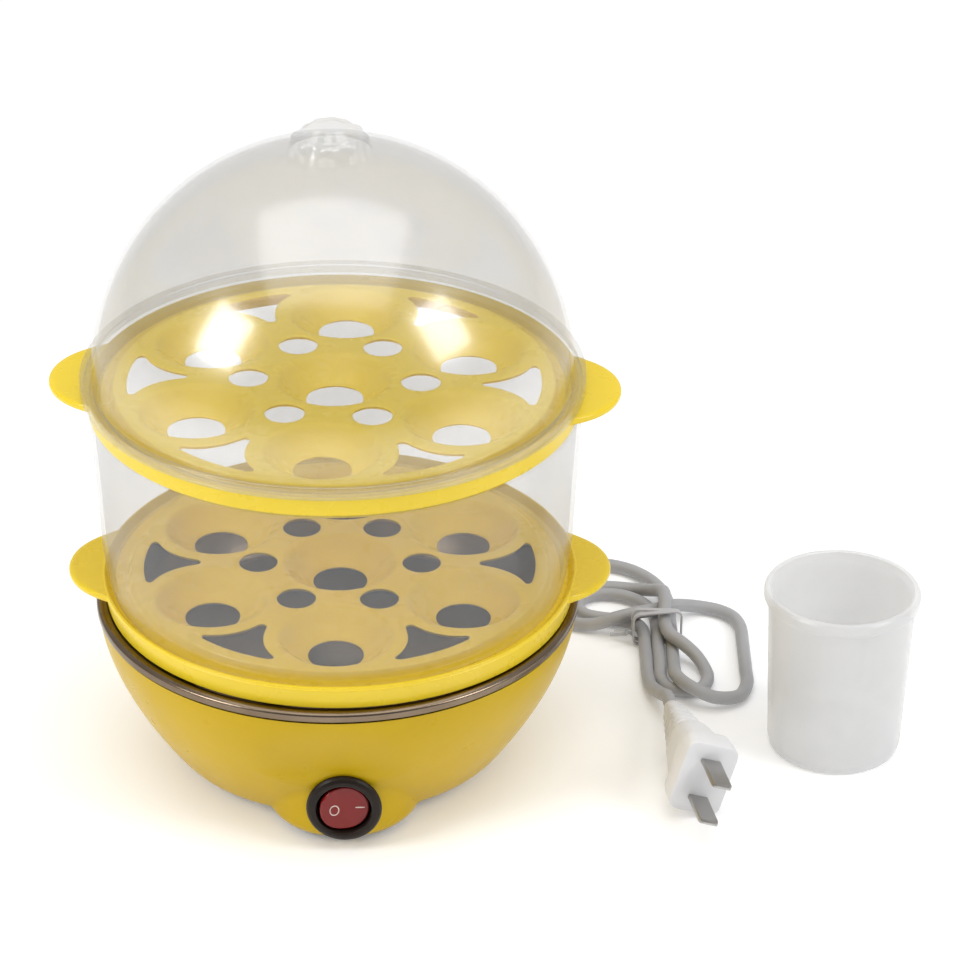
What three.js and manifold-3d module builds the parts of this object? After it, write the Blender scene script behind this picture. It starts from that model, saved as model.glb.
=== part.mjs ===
// Two-tier egg cooker with its measuring cup and mains lead.
// Millimetres, +Z up. The origin is on the cooker's axis, at the level of its feet.
import * as THREE from 'three';
import { mergeVertices } from 'three/addons/utils/BufferGeometryUtils.js';
import Module from 'manifold-3d';

const wasm = await Module();
wasm.setup();

// Driving dimensions
const GAP = 0.3;
const ROUND = 36;

const BOWL_BOTTOM = { r: 52.6, z: 3.0 };
const BOWL_TOP = { r: 75.2, z: 51.5 };
const BOWL_CURVE = 1.6;
const WALL = 2.2;

const BOSS = { x: 3, y: -42, r: 23.8, top: 28 };
const SWITCH = { x: 4, y: -65.4, z: 15.6, bezelR: 11.5, rockerR: 7.7, mouthR: 8.35, bodyR: 9.6, depth: 18, pivot: 1 };

const COVER = { r: 49.8, z: 3.3, thick: 2.0, padR: 20, padZ: 0.5 };
const FOOT = { r: 6, ring: 43.5, azimuths: [25, 155, 205, 335] };
const SCREW = { ring: 45.5, azimuths: [2, 178, 240, 300], headR: 3, shankR: 1.5, postTop: 14 };

const RIM = { outer: 75.9, top: 55.3, bottom: 51.8, inner: 70.9 };
const PAN_FLOOR = 29;
const PAN_THICK = 1.2;

const ELEMENT = { ring: 38, r: 3.4, z: 25.2 };

const TRAY_WALL_DEPTH = 7.8;
const TRAY_THICK = 1.4;
const TRAY_CHANNEL = 2.4;
const TRAY_STEP = 5.7;
const DECK_R = 66.5;
const CUP_RING = 45.4;
const CUP_R = 17.2;
const CUP_SPHERE = 22;
const CUP_HOLE_R = 8.6;
const SMALL_HOLE = { ring: 26, r: 6 };
const EAR = { tip: 86.2, r: 22.6, thick: 2.2, drop: 0.3 };
const LOWER = { name: 'lower_tray', x: 0.6, top: 63.5, wall: 74.3, scale: 0.985, turn: 0.7, stepped: false };
const UPPER = { name: 'upper_tray', x: -0.3, top: 127.8, wall: 75.4, scale: 1.015, turn: -2.1, stepped: true };

const RING = { x: 0.1, bottom: 61.4, top: 121.8, thick: 1.4 };
const LID = { x: -0.6, r: 73.6, centre: 130.6, thick: 1.4, flangeR: 77.1, flangeTop: 132.2 };
const KNOB = { r: 11.5, bottom: 202.6, top: 212.4 };

const CUP = { x: 158.6, y: -1.8, bottomR: 21.2, topR: 23.1, rimR: 24.6, rimZ: 52.6, height: 57.2, floor: 5 };

const CORD_R = 2.2;
const CORD_Z = 2.4;
const EXIT = { y: 75, z: 11, inside: 48.9, wall: 51.9 };
const TIE = { x: 104.1, y: 58, turn: 5, low: 3.7, high: 8.2, middle: 6.35 };
const PLUG = { x: 114.4, y: -46.5, z: 14.2, heading: 9.2, noseUp: 5.2, roll: 18 };

// Materials
const yellow = () => new THREE.MeshStandardMaterial({ color: 0xdcb832, roughness: 0.32, metalness: 0 });
const frosted = () => new THREE.MeshStandardMaterial({
  color: 0xdadadc, roughness: 0.45, metalness: 0, transparent: true, opacity: 0.5 });
const steel = () => new THREE.MeshStandardMaterial({ color: 0xb8b3ae, roughness: 0.25, metalness: 1 });
const aluminium = () => new THREE.MeshStandardMaterial({ color: 0xa8aaac, roughness: 0.4, metalness: 1 });
const brass = () => new THREE.MeshStandardMaterial({ color: 0xc9a648, roughness: 0.3, metalness: 1 });
const black = () => new THREE.MeshStandardMaterial({ color: 0x211d1b, roughness: 0.45, metalness: 0 });
const red = () => new THREE.MeshStandardMaterial({ color: 0x9c1820, roughness: 0.15, metalness: 0 });
const rubber = () => new THREE.MeshStandardMaterial({ color: 0x3a3a3a, roughness: 0.9, metalness: 0 });
const grey = () => new THREE.MeshStandardMaterial({ color: 0xaeb0b4, roughness: 0.5, metalness: 0 });
const paleGrey = () => new THREE.MeshStandardMaterial({ color: 0xd2d3d5, roughness: 0.45, metalness: 0 });
const ceramic = () => new THREE.MeshStandardMaterial({ color: 0xe4e0d6, roughness: 0.7, metalness: 0 });

// Solid tools
const radians = (degrees) => degrees * Math.PI / 180;
const polar = (r, degrees) => [r * Math.cos(radians(degrees)), r * Math.sin(radians(degrees))];

// Closed triangles of a geometry, welded, without slivers and facing out.
function solid(geometry) {
  const bare = new THREE.BufferGeometry();
  bare.setAttribute('position', geometry.getAttribute('position'));
  if (geometry.index) bare.setIndex(geometry.index);
  const welded = mergeVertices(bare, 1e-4);
  const place = welded.getAttribute('position').array;
  const source = welded.index.array;
  const triangles = [];
  let volume = 0;
  for (let i = 0; i < source.length; i += 3) {
    const [a, b, c] = [source[i], source[i + 1], source[i + 2]];
    if (a === b || b === c || c === a) continue;
    triangles.push(a, b, c);
    const [p, q, r] = [a, b, c].map((k) => new THREE.Vector3().fromArray(place, 3 * k));
    volume += p.dot(q.cross(r));
  }
  if (volume < 0) triangles.reverse();
  const mesh = new wasm.Mesh({
    numProp: 3,
    vertProperties: Float32Array.from(place),
    triVerts: Uint32Array.from(triangles),
  });
  return new wasm.Manifold(mesh);
}

function geometryOf(manifold) {
  const mesh = manifold.getMesh();
  const geometry = new THREE.BufferGeometry();
  geometry.setAttribute('position', new THREE.BufferAttribute(mesh.vertProperties, 3));
  geometry.setIndex(new THREE.BufferAttribute(mesh.triVerts, 1));
  return geometry;
}

const join = (first, ...others) => others.reduce((sum, other) => sum.add(other), first);
const cut = (first, ...others) => others.reduce((rest, other) => rest.subtract(other), first);

// Turned solid from a closed outline of [radius, height] points, axis up.
function turned(outline, segments = ROUND) {
  const points = outline.map(([r, z]) => new THREE.Vector2(r, z));
  points.push(points[0].clone());
  const geometry = new THREE.LatheGeometry(points, segments);
  geometry.rotateX(Math.PI / 2);
  return solid(geometry);
}

function upright(r, bottom, top, x = 0, y = 0, segments = 24, rTop = r) {
  const geometry = new THREE.CylinderGeometry(rTop, r, top - bottom, segments);
  geometry.rotateX(Math.PI / 2);
  geometry.translate(x, y, (top + bottom) / 2);
  return solid(geometry);
}

// Cylinder along Y from yFrom to yTo.
function level(r, yFrom, yTo, x, z, segments = 24, rTo = r) {
  const geometry = new THREE.CylinderGeometry(rTo, r, yTo - yFrom, segments);
  return solid(geometry.translate(x, (yFrom + yTo) / 2, z));
}

function block(width, depth, height, x, y, z) {
  const geometry = new THREE.BoxGeometry(width, depth, height);
  geometry.translate(x, y, z);
  return solid(geometry);
}

function tube(points, r, steps, sides) {
  const section = new THREE.Shape();
  section.absarc(0, 0, r, 0, 2 * Math.PI);
  const extrudePath = new THREE.CatmullRomCurve3(points, false, 'centripetal');
  return new THREE.ExtrudeGeometry(section, { steps, extrudePath, bevelEnabled: false, curveSegments: sides / 2 });
}

function roundedRect(width, height, corner) {
  const [w, h] = [width / 2 - corner, height / 2 - corner];
  const shape = new THREE.Shape();
  shape.absarc(w, h, corner, 0, Math.PI / 2);
  shape.absarc(-w, h, corner, Math.PI / 2, Math.PI);
  shape.absarc(-w, -h, corner, Math.PI, 1.5 * Math.PI);
  shape.absarc(w, -h, corner, 1.5 * Math.PI, 2 * Math.PI);
  return shape;
}

const object = new THREE.Group();

function add(name, shape, material, parent = object) {
  const geometry = shape.isBufferGeometry ? geometryOf(solid(shape)) : geometryOf(shape);
  const mesh = new THREE.Mesh(geometry, material);
  mesh.name = name;
  parent.add(mesh);
  return mesh;
}

// Base housing: bowl, switch boss, screw posts
function bowlRadius(z) {
  const t = Math.min(1, Math.max(0, (z - BOWL_BOTTOM.z) / (BOWL_TOP.z - BOWL_BOTTOM.z)));
  return BOWL_BOTTOM.r + (BOWL_TOP.r - BOWL_BOTTOM.r) * (1 - (1 - t) ** BOWL_CURVE);
}

function bowlSolid(inset, bottom, top) {
  const outline = [[0, bottom]];
  const steps = 7;
  for (let i = 0; i <= steps; i += 1) {
    const z = bottom + (top - bottom) * i / steps;
    outline.push([bowlRadius(z) - inset, z]);
  }
  outline.push([0, top]);
  return turned(outline);
}

const bossSolid = (inset, bottom, top) => upright(BOSS.r - inset, bottom, top, BOSS.x, BOSS.y, 36);

// What lies in front of the switch plane, which leans out above the boss to meet the rim.
function frontCut(inset) {
  const plane = SWITCH.y + inset;
  const side = new THREE.Shape();
  side.moveTo(plane, -1);
  side.lineTo(plane, BOSS.top);
  side.lineTo(-BOWL_TOP.r + inset, BOWL_TOP.z - 3);
  side.lineTo(-100, BOWL_TOP.z - 3);
  side.lineTo(-100, -1);
  const geometry = new THREE.ExtrudeGeometry(side, { depth: 80, bevelEnabled: false });
  geometry.rotateX(Math.PI / 2);
  geometry.rotateZ(Math.PI / 2);
  return solid(geometry.translate(-40, 0, 0));
}

function screwPost(azimuth) {
  const [x, y] = polar(SCREW.ring, azimuth);
  const bottom = COVER.z + COVER.thick + GAP;
  const post = upright(4, bottom, SCREW.postTop, x, y, 16);
  const rib = new THREE.BoxGeometry(12, 2.4, SCREW.postTop - bottom);
  rib.translate(SCREW.ring + 5, 0, (SCREW.postTop + bottom) / 2);
  rib.rotateZ(radians(azimuth));
  return join(post, solid(rib));
}

function baseHousing() {
  const { z } = BOWL_BOTTOM;
  const outer = cut(join(bowlSolid(0, z, BOWL_TOP.z), bossSolid(0, z, BOSS.top)), frontCut(0));
  const hollow = cut(
    join(bowlSolid(WALL, z - 1, BOWL_TOP.z + 1), bossSolid(WALL, z - 1, BOSS.top - WALL)),
    frontCut(WALL),
  );
  const posts = SCREW.azimuths.map((azimuth) => screwPost(azimuth).intersect(outer));
  const holes = SCREW.azimuths.map((azimuth) =>
    upright(SCREW.shankR + GAP, 0, SCREW.postTop - 2, ...polar(SCREW.ring, azimuth), 12));
  const switchHole = level(SWITCH.bodyR + GAP, -80, SWITCH.y + 16, SWITCH.x, SWITCH.z, 32);
  const cordHole = level(4.4, 50, 75, 0, EXIT.z, 20);
  return cut(join(cut(outer, hollow), ...posts), ...holes, switchHole, cordHole);
}

function bottomCover() {
  const top = COVER.z + COVER.thick;
  const disc = upright(COVER.r, COVER.z, top, 0, 0, ROUND);
  const bossFloor = upright(BOSS.r - WALL - 0.4, COVER.z, top, BOSS.x, BOSS.y, 32);
  const pad = upright(COVER.padR, COVER.padZ, COVER.z + 1, 0, 0, 32);
  const holes = SCREW.azimuths.map((azimuth) =>
    upright(SCREW.shankR + GAP, 0, top + 1, ...polar(SCREW.ring, azimuth), 12));
  return cut(join(disc, bossFloor, pad), ...holes);
}

function coverScrew(azimuth) {
  const [x, y] = polar(SCREW.ring, azimuth);
  const head = upright(SCREW.headR, COVER.z - 2.1, COVER.z - GAP, x, y, 16);
  const shank = upright(SCREW.shankR, COVER.z - 1, SCREW.postTop - 2 - GAP, x, y, 12);
  return join(head, shank);
}

function addBase() {
  add('base_housing', baseHousing(), yellow());
  add('bottom_cover', bottomCover(), black());
  FOOT.azimuths.forEach((azimuth, i) => {
    const [x, y] = polar(FOOT.ring, azimuth);
    add(`foot_${i + 1}`, upright(FOOT.r - 0.6, 0, COVER.z - GAP, x, y, 20, FOOT.r), rubber());
  });
  SCREW.azimuths.forEach((azimuth, i) => add(`cover_screw_${i + 1}`, coverScrew(azimuth), steel()));
}

// Pan and heater
function heatingPan() {
  return turned([
    [0, PAN_FLOOR], [56, PAN_FLOOR], [63, 31.5], [66.2, 36.5], [70.2, 44], [71.8, RIM.bottom],
    [75.1, RIM.bottom], [RIM.outer, 52.7], [RIM.outer, 54.2], [75.1, 55.1], [74.2, RIM.top],
    [73.2, RIM.top], [71.9, 54.7], [RIM.inner, 53.4], [69.1, 44.3], [65.3, 37.2],
    [62.5, 32.6], [55.6, PAN_FLOOR + PAN_THICK], [0, PAN_FLOOR + PAN_THICK],
  ]);
}

function heatingElement() {
  const outline = [];
  for (let i = 0; i < 8; i += 1) {
    const [r, z] = polar(ELEMENT.r, 45 * i);
    outline.push([ELEMENT.ring + r, ELEMENT.z + z]);
  }
  const pins = [-18, -8].map((x) => upright(1.6, 15, ELEMENT.z, x, 2 - ELEMENT.ring, 10));
  return join(turned(outline), ...pins);
}

function addHeater() {
  const under = PAN_FLOOR - GAP;
  add('heating_pan', heatingPan(), steel());
  add('heating_element', heatingElement(), aluminium());
  add('pan_stud', upright(2, 12, under, 0, 16, 12), steel());
  const bar = block(12, 52, 1.6, 0, 0, 18.8);
  add('element_bracket', cut(bar, upright(2 + GAP, 10, 25, 0, 16, 12)), steel());
  const nut = upright(4, 14.4, 17.7, 0, 16, 6);
  add('bracket_nut', cut(nut, upright(2 + GAP, 10, 25, 0, 16, 12)), steel());
  const sensor = join(upright(9, 22, under, 0, -10, 24), upright(6, 19.9, 22.5, 0, -10, 16));
  add('thermostat', sensor, aluminium());
  const fuse = new THREE.CylinderGeometry(2.2, 2.2, 16, 12);
  fuse.rotateZ(Math.PI / 2);
  add('thermal_fuse', fuse.translate(-24, 24, 13), ceramic());
}

// Switch
function switchBezel() {
  const ring = level(SWITCH.bezelR, SWITCH.y - 2.4, SWITCH.y - GAP, SWITCH.x, SWITCH.z, 40);
  const mouth = level(SWITCH.mouthR, SWITCH.y - 5, SWITCH.y + 5, SWITCH.x, SWITCH.z, 32);
  return cut(ring, mouth);
}

function switchBody() {
  const shell = level(SWITCH.bodyR, SWITCH.y, SWITCH.y + SWITCH.depth, SWITCH.x, SWITCH.z, 32);
  const mouth = level(SWITCH.mouthR, SWITCH.y - 1, SWITCH.y + 9, SWITCH.x, SWITCH.z, 32);
  return cut(shell, mouth);
}

// Rocker: two shallow faces meeting at the upright hinge line, inside the ball that its swing sweeps.
function rocker() {
  const plan = new THREE.Shape();
  const reach = SWITCH.rockerR;
  plan.moveTo(0.3 - reach, -2.9);
  plan.lineTo(0, -0.9);
  plan.lineTo(reach, -0.6);
  plan.lineTo(reach - 1.6, 3.2);
  plan.lineTo(0, 5);
  plan.lineTo(1.6 - reach, 3.2);
  plan.lineTo(0.2 - reach, 0);
  const prism = new THREE.ExtrudeGeometry(plan, { depth: 20, bevelEnabled: false });
  prism.translate(SWITCH.x, SWITCH.y, SWITCH.z - 10);
  const trim = level(reach, SWITCH.y - 8, SWITCH.y + 8, SWITCH.x, SWITCH.z, 32);
  const swing = new THREE.SphereGeometry(SWITCH.mouthR - 0.2, 24, 16);
  swing.translate(SWITCH.x, SWITCH.y + SWITCH.pivot, SWITCH.z);
  return solid(prism).intersect(trim).intersect(solid(swing));
}

function addSwitch() {
  add('switch_bezel', switchBezel(), black());
  add('switch_body', switchBody(), black());
  add('rocker', rocker(), red());
  const back = SWITCH.y + SWITCH.depth + GAP;
  [['left', -4], ['right', 4]].forEach(([side, dx]) => {
    add(`switch_terminal_${side}`, block(0.8, 8, 5, SWITCH.x + dx, back + 4, SWITCH.z), brass());
  });
}

// Wiring inside the base
function addWiring() {
  const at = (x, y, z) => new THREE.Vector3(x, y, z);
  const sleeve = level(4, EXIT.wall, EXIT.y, 0, EXIT.z, 20, 3.1);
  const collar = level(5.2, EXIT.inside, EXIT.wall, 0, EXIT.z, 20);
  add('rear_grommet', join(collar, sleeve), black());
  add('cord_clamp', block(14, 5, 4, 0, 45, EXIT.z - 3.6), black());
  add('cord_clamp_screw', upright(2, EXIT.z - 1.2, EXIT.z + 1, -4.5, 45, 12), steel());
  const wires = {
    wire_cord_to_switch: [at(1.5, 48.3, 11), at(1.5, 44, 11.5), at(12, 20, 10), at(14, -20, 10),
      at(9, -34, 13), at(8, -38.5, 15.6)],
    wire_switch_to_element: [at(0, -38.5, 15.6), at(-3, -34, 11), at(-14, -26, 9.5), at(-12, -34, 10.5),
      at(-7.5, -37, 13.5)],
    wire_fuse_to_cord: [at(-15.6, 24, 13), at(-8, 27, 11), at(-4, 36, 11.5), at(-1.5, 44, 11.5), at(-1.5, 48.3, 11)],
  };
  for (const [name, points] of Object.entries(wires)) add(name, tube(points, 0.9, 8, 6), grey());
}

// Egg trays: wall with two ears, groove for the ring, raised deck with seven cups

// Deck, channel for the ring or lid, and skirt. A stepped skirt rests on the ring's top edge.
function trayBody({ wall, scale, stepped }) {
  const deck = DECK_R * scale;
  const bottom = -TRAY_WALL_DEPTH;
  const floor = -TRAY_CHANNEL;
  const under = floor - TRAY_THICK;
  const skirt = wall - (stepped ? 2.8 : 1.2);
  const step = stepped ? [[skirt + 0.2, -TRAY_STEP], [wall - 0.2, -TRAY_STEP]] : [];
  return turned([
    [0, -1.1], [deck - 1.9, -1.1], [deck - 1.2, under], [deck + 1.4, under],
    [deck + 1.4, under - 2], [deck + 2.6, under - 2], [deck + 2.6, under], [skirt - 1.1, under],
    [skirt - 1.3, bottom], [skirt, bottom], ...step, [wall, 0], [wall - 1.3, 0], [wall - 2.6, floor],
    [deck + 0.8, floor], [deck, -0.8], [deck - 1.4, 0.3], [0, 0.3],
  ]);
}

function cupCentres(scale) {
  const outer = [30, 90, 150, 210, 270, 330].map((azimuth) => polar(CUP_RING * scale, azimuth));
  return [[0, 0], ...outer];
}

// Ball that forms a cup: it meets the deck at CUP_R.
function cupBall(extra, x, y) {
  const ball = new THREE.SphereGeometry(CUP_SPHERE + extra, 12, 8);
  ball.rotateX(Math.PI / 2);
  ball.translate(x, y, Math.sqrt(CUP_SPHERE ** 2 - CUP_R ** 2));
  return solid(ball);
}

// Three-cornered opening between two cups and the rim, its sides hollowed round the cups.
function cornerOpening(scale, azimuth) {
  const outer = 62.4 * scale;
  const inner = 45.2 * scale;
  const half = 12.4 * scale;
  const shape = new THREE.Shape();
  shape.moveTo(inner, -1.4);
  shape.quadraticCurveTo(outer - 7, -4.2, outer - 3.6, -half);
  shape.quadraticCurveTo(outer - 2.6, -half - 1.4, outer - 1.4, -half + 0.6);
  shape.quadraticCurveTo(outer + 1.2, 0, outer - 1.4, half - 0.6);
  shape.quadraticCurveTo(outer - 2.6, half + 1.4, outer - 3.6, half);
  shape.quadraticCurveTo(outer - 7, 4.2, inner, 1.4);
  shape.quadraticCurveTo(inner - 1.6, 0, inner, -1.4);
  const geometry = new THREE.ExtrudeGeometry(shape, { depth: 12, bevelEnabled: false, curveSegments: 2 });
  geometry.translate(0, 0, -6);
  geometry.rotateZ(radians(azimuth));
  return solid(geometry);
}

function ears({ wall, scale }) {
  const tip = EAR.tip * scale;
  const shape = new THREE.Shape();
  shape.absarc(0, 0, EAR.r, 0, 2 * Math.PI);
  const top = -EAR.drop;
  const inside = upright(wall - 0.9, -5, 5, 0, 0, ROUND);
  return [1, -1].map((side) => {
    const lobe = new THREE.ExtrudeGeometry(shape, { depth: EAR.thick, bevelEnabled: false, curveSegments: 16 });
    lobe.translate(side * (tip - EAR.r), 0, top - EAR.thick);
    return cut(solid(lobe), inside);
  });
}

function tray(spec) {
  const centres = cupCentres(spec.scale);
  const slice = block(200, 200, 9, 0, 0, -4.5);
  const shells = centres.map(([x, y]) => cupBall(TRAY_THICK, x, y).intersect(slice));
  const hollows = centres.map(([x, y]) => cupBall(0, x, y));
  const holes = centres.map(([x, y]) => upright(CUP_HOLE_R * spec.scale, -12, 4, x, y, 14));
  const small = [0, 60, 120, 180, 240, 300];
  const smallHoles = small.map((azimuth) =>
    upright(SMALL_HOLE.r, -6, 6, ...polar(SMALL_HOLE.ring * spec.scale, azimuth), 10));
  const openings = small.map((azimuth) => cornerOpening(spec.scale, azimuth));
  const plate = cut(join(trayBody(spec), ...shells), ...hollows, ...holes, ...smallHoles, ...openings);
  return join(plate, ...ears(spec));
}

function addTray(spec, parent) {
  const mesh = add(spec.name, tray(spec), yellow(), parent);
  mesh.position.set(spec.x, 0, spec.top);
  mesh.rotation.z = radians(spec.turn);
}

// Frosted ring between the trays: wide at the top, necked in where it stands in the lower tray
function middleRing() {
  const outside = [[70.9, RING.bottom], [72.2, 67], [73.2, 76], [73.8, 88], [74.9, 110], [75.5, RING.top]];
  const inside = outside.map(([r, z]) => [r - RING.thick, z]).reverse();
  return turned([...outside, ...inside]);
}

// Lid: half sphere on a flange, with a locating spigot and a lobed knob
function lid() {
  const outline = [];
  const steps = 8;
  const start = Math.asin((LID.flangeTop - LID.centre) / LID.r);
  for (let i = 0; i < steps; i += 1) {
    const angle = start + (Math.PI / 2 - start) * i / steps;
    outline.push([LID.r * Math.cos(angle), LID.centre + LID.r * Math.sin(angle)]);
  }
  outline.push([0, LID.centre + LID.r]);
  const inner = LID.r - LID.thick;
  outline.push([0, LID.centre + inner]);
  for (let i = steps - 1; i >= 0; i -= 1) {
    const angle = (Math.PI / 2) * i / steps;
    outline.push([inner * Math.cos(angle), LID.centre + inner * Math.sin(angle)]);
  }
  const seat = UPPER.top + GAP;
  const lip = LID.flangeR - 1.3;
  outline.push([inner - 1, seat], [inner - 1.6, seat - 2], [inner - 0.6, seat - 2], [inner - 0.2, seat]);
  outline.push([LID.r - 0.4, seat], [LID.r - 0.2, LID.flangeTop - 1.4], [lip, LID.flangeTop - 1.4]);
  outline.push([lip, seat], [LID.flangeR, seat], [LID.flangeR, LID.flangeTop - 0.5]);
  outline.push([LID.flangeR - 0.5, LID.flangeTop]);
  const shell = turned(outline);
  return cut(join(shell, knob()), upright(1.6, 190, 230, 0, 0, 8));
}

function knob() {
  const skirt = turned([
    [0, KNOB.bottom], [10.5, KNOB.bottom], [KNOB.r, KNOB.bottom + 4.5], [10.6, KNOB.bottom + 6.6],
    [8.2, KNOB.top - 3], [6.4, KNOB.top - 0.9], [5.2, KNOB.top], [0, KNOB.top],
  ], 24);
  const notches = [90, 210, 330].map((azimuth) => upright(3.4, KNOB.top - 4.2, 230, ...polar(9.4, azimuth), 10));
  return cut(skirt, ...notches);
}

// Measuring cup with its steel pin
function measuringCup() {
  const slope = (z) => CUP.bottomR + (CUP.topR - CUP.bottomR) * (z - 3) / (CUP.rimZ - 3);
  const wall = 1.2;
  const body = turned([
    [0, CUP.floor], [17.2, CUP.floor], [17.6, 0], [18.9, 0], [20.4, 0.9], [slope(3), 3.2], [CUP.topR, CUP.rimZ],
    [CUP.rimR - 0.4, CUP.rimZ + 0.6], [CUP.rimR, CUP.rimZ + 1.6], [CUP.rimR, CUP.rimZ + 3.4],
    [CUP.rimR - 0.8, CUP.height], [CUP.rimR - 2.2, CUP.height], [CUP.topR - wall, CUP.rimZ + 2.4], [slope(8) - wall, 8],
    [slope(8) - 2.6, CUP.floor + 1.5], [0, CUP.floor + 1.5],
  ], 28);
  return body;
}

function addMeasuringCup() {
  const cup = add('measuring_cup', measuringCup(), frosted());
  cup.position.set(CUP.x, CUP.y, 0);
  const base = upright(2.6, CUP.floor - 1.3, CUP.floor - GAP, CUP.x, CUP.y, 16);
  const needle = upright(0.15, 1, CUP.floor - 1, CUP.x, CUP.y, 10, 0.7);
  add('piercing_pin', join(base, needle), steel());
}

// Mains lead: from the grommet, round behind the base, then in loops that pass the tie four times
function cordRoute() {
  const flat = (...pairs) => pairs.map(([x, y, z = CORD_Z]) => new THREE.Vector3(x, y, z));
  const { low, high } = TIE;
  return [
    // out of the base and round behind it
    ...flat([0, EXIT.y + 2 * GAP, EXIT.z], [0, 81.5, 10.9], [-1.4, 87.5, 9.4], [-5.4, 93, 6.4], [-11.4, 97, 3.6],
      [-18.5, 98.4], [-25.6, 100.6], [-30.6, 105.8], [-32.2, 112.4], [-30.4, 119], [-25.2, 124.2], [-18, 126],
      [-8, 125.2], [4, 121.6], [16, 115.8], [28, 108.8], [40, 100.6], [51, 91], [60, 81], [68, 72.2]),
    // over the strands behind the tie and round the outer loop
    ...flat([75.6, 66.4], [83.5, 63.6, 3.6], [90, 63.4, 6.2], [97, 65, 7.3], [103.6, 67.4, 7.3], [109.4, 71, 6.8],
      [114, 75, 4.6], [120, 77, 2.8], [126, 75.4], [130.6, 71], [132.6, 64.6], [132.8, 56], [132.8, 47],
      [132.8, 37.6], [132.6, 28.2], [129.2, 20, 2.8], [121, 16.6, 4.6], [112.8, 20, 6.9], [109.3, 28.2, 5.6],
      [109, 37, 3]),
    ...flat([109, 47], [108.9, 58, low], [108.9, 68, 2.6], [109, 77], [107.6, 86.4], [103.6, 95], [97, 102],
      [89.4, 105.6], [81.8, 106.2], [75.8, 103.6], [73.6, 98.2], [75.8, 92.6], [81.4, 90], [89, 90.4],
      [96.6, 89, 2.6], [102.4, 84.6, 4.8], [105.6, 78.2, 8.6], [106.8, 72, 11.4], [106.9, 66.4, 11.4],
      [106.7, 61.6, 9.2]),
    // through the tie to the inner loop
    ...flat([106.6, 57, high], [108, 51.6, 7.4], [111.8, 47.4, 6.6], [116.2, 43.4, 4.4], [119.2, 37.8], [119.8, 31],
      [117.6, 25.6], [112.2, 23.4], [106.8, 25.6], [104.5, 31], [104.4, 39], [104.3, 48], [104.2, 58, low],
      [104.2, 66, 2.6], [103.2, 73.4], [99.6, 80.2], [93.4, 84.6], [86, 85.6], [80.2, 83], [78, 77.4], [80.2, 72],
      [86, 69.6], [92.4, 68.2], [97.8, 64.4, 3], [99.6, 58, low]),
    // lead to the plug
    ...flat([99.9, 50.4, 2.6], [100.1, 42.6], [100.1, 34.6], [100.8, 26.8, 2.8], [102.4, 19.6, 5], [104.2, 12.8, 7.8]),
    plugPoint(0, 57, 0.2),
    plugPoint(0, 50, 0),
  ];
}

// A point of the plug's own frame (Y from the face to the cord) in the object's frame.
const plugTurn = new THREE.Euler(radians(-PLUG.noseUp), radians(PLUG.roll), radians(PLUG.heading), 'ZXY');
function plugPoint(x, y, z) {
  return new THREE.Vector3(x, y, z).applyEuler(plugTurn).add(new THREE.Vector3(PLUG.x, PLUG.y, PLUG.z));
}

function twistTie() {
  const band = (width, height) => {
    const geometry = new THREE.ExtrudeGeometry(roundedRect(width, height, 2.6), {
      depth: 4, bevelEnabled: false, curveSegments: 2 });
    geometry.translate(0, 0, -2);
    geometry.rotateX(Math.PI / 2);
    return geometry;
  };
  const place = (geometry) => {
    geometry.rotateZ(radians(TIE.turn));
    return solid(geometry.translate(TIE.x, TIE.y, TIE.middle));
  };
  const tail = new THREE.BoxGeometry(9, 2.6, 1.2).translate(-12.2, 0, -2.2);
  return join(cut(place(band(17.0, 12.3)), place(band(15.4, 10.7).scale(1, 2, 1))), place(tail));
}

function addPlug() {
  const group = new THREE.Group();
  group.position.set(PLUG.x, PLUG.y, PLUG.z);
  group.rotation.copy(plugTurn);
  object.add(group);
  const piece = (width, height, corner, from, to) => {
    const geometry = new THREE.ExtrudeGeometry(roundedRect(width, height, corner), {
      depth: to - from, bevelEnabled: false, curveSegments: 2 });
    geometry.rotateX(-Math.PI / 2);
    return solid(geometry.translate(0, from, 0));
  };
  add('plug_body', join(piece(17, 24, 3.4, 0, 11), piece(14.5, 20.5, 4, 10, 18), piece(12, 16, 4, 17, 26)),
    paleGrey(), group);
  const ribs = [0, 1, 2, 3, 4].map((i) =>
    piece(10.6 - i, 12.6 - 1.3 * i, 2.6, 27 + 4 * i, 29.4 + 4 * i));
  const sleeve = piece(6.6, 7.6, 2.4, 26 + GAP, 49.3);
  add('plug_strain_relief', join(sleeve, ...ribs), paleGrey(), group);
  [['upper', 1], ['lower', -1]].forEach(([name, side]) => {
    const blade = block(6.3, 17, 1.5, 0, -8.5 - GAP, side * 6.35);
    add(`plug_blade_${name}`, blade, brass(), group);
  });
}

function addLead() {
  add('power_cord', tube(cordRoute(), CORD_R, 80, 10), grey());
  add('twist_tie', twistTie(), grey());
  addPlug();
}

addBase();
addHeater();
addSwitch();
addWiring();
addTray(LOWER, object);
add('middle_ring', middleRing(), frosted()).position.x = RING.x;
addTray(UPPER, object);
add('lid', lid(), frosted()).position.x = LID.x;
addMeasuringCup();
addLead();

export default object;
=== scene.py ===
import math

import bmesh
import bpy
import numpy as np
from mathutils import Matrix, Vector
from mathutils.geometry import delaunay_2d_cdt


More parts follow.
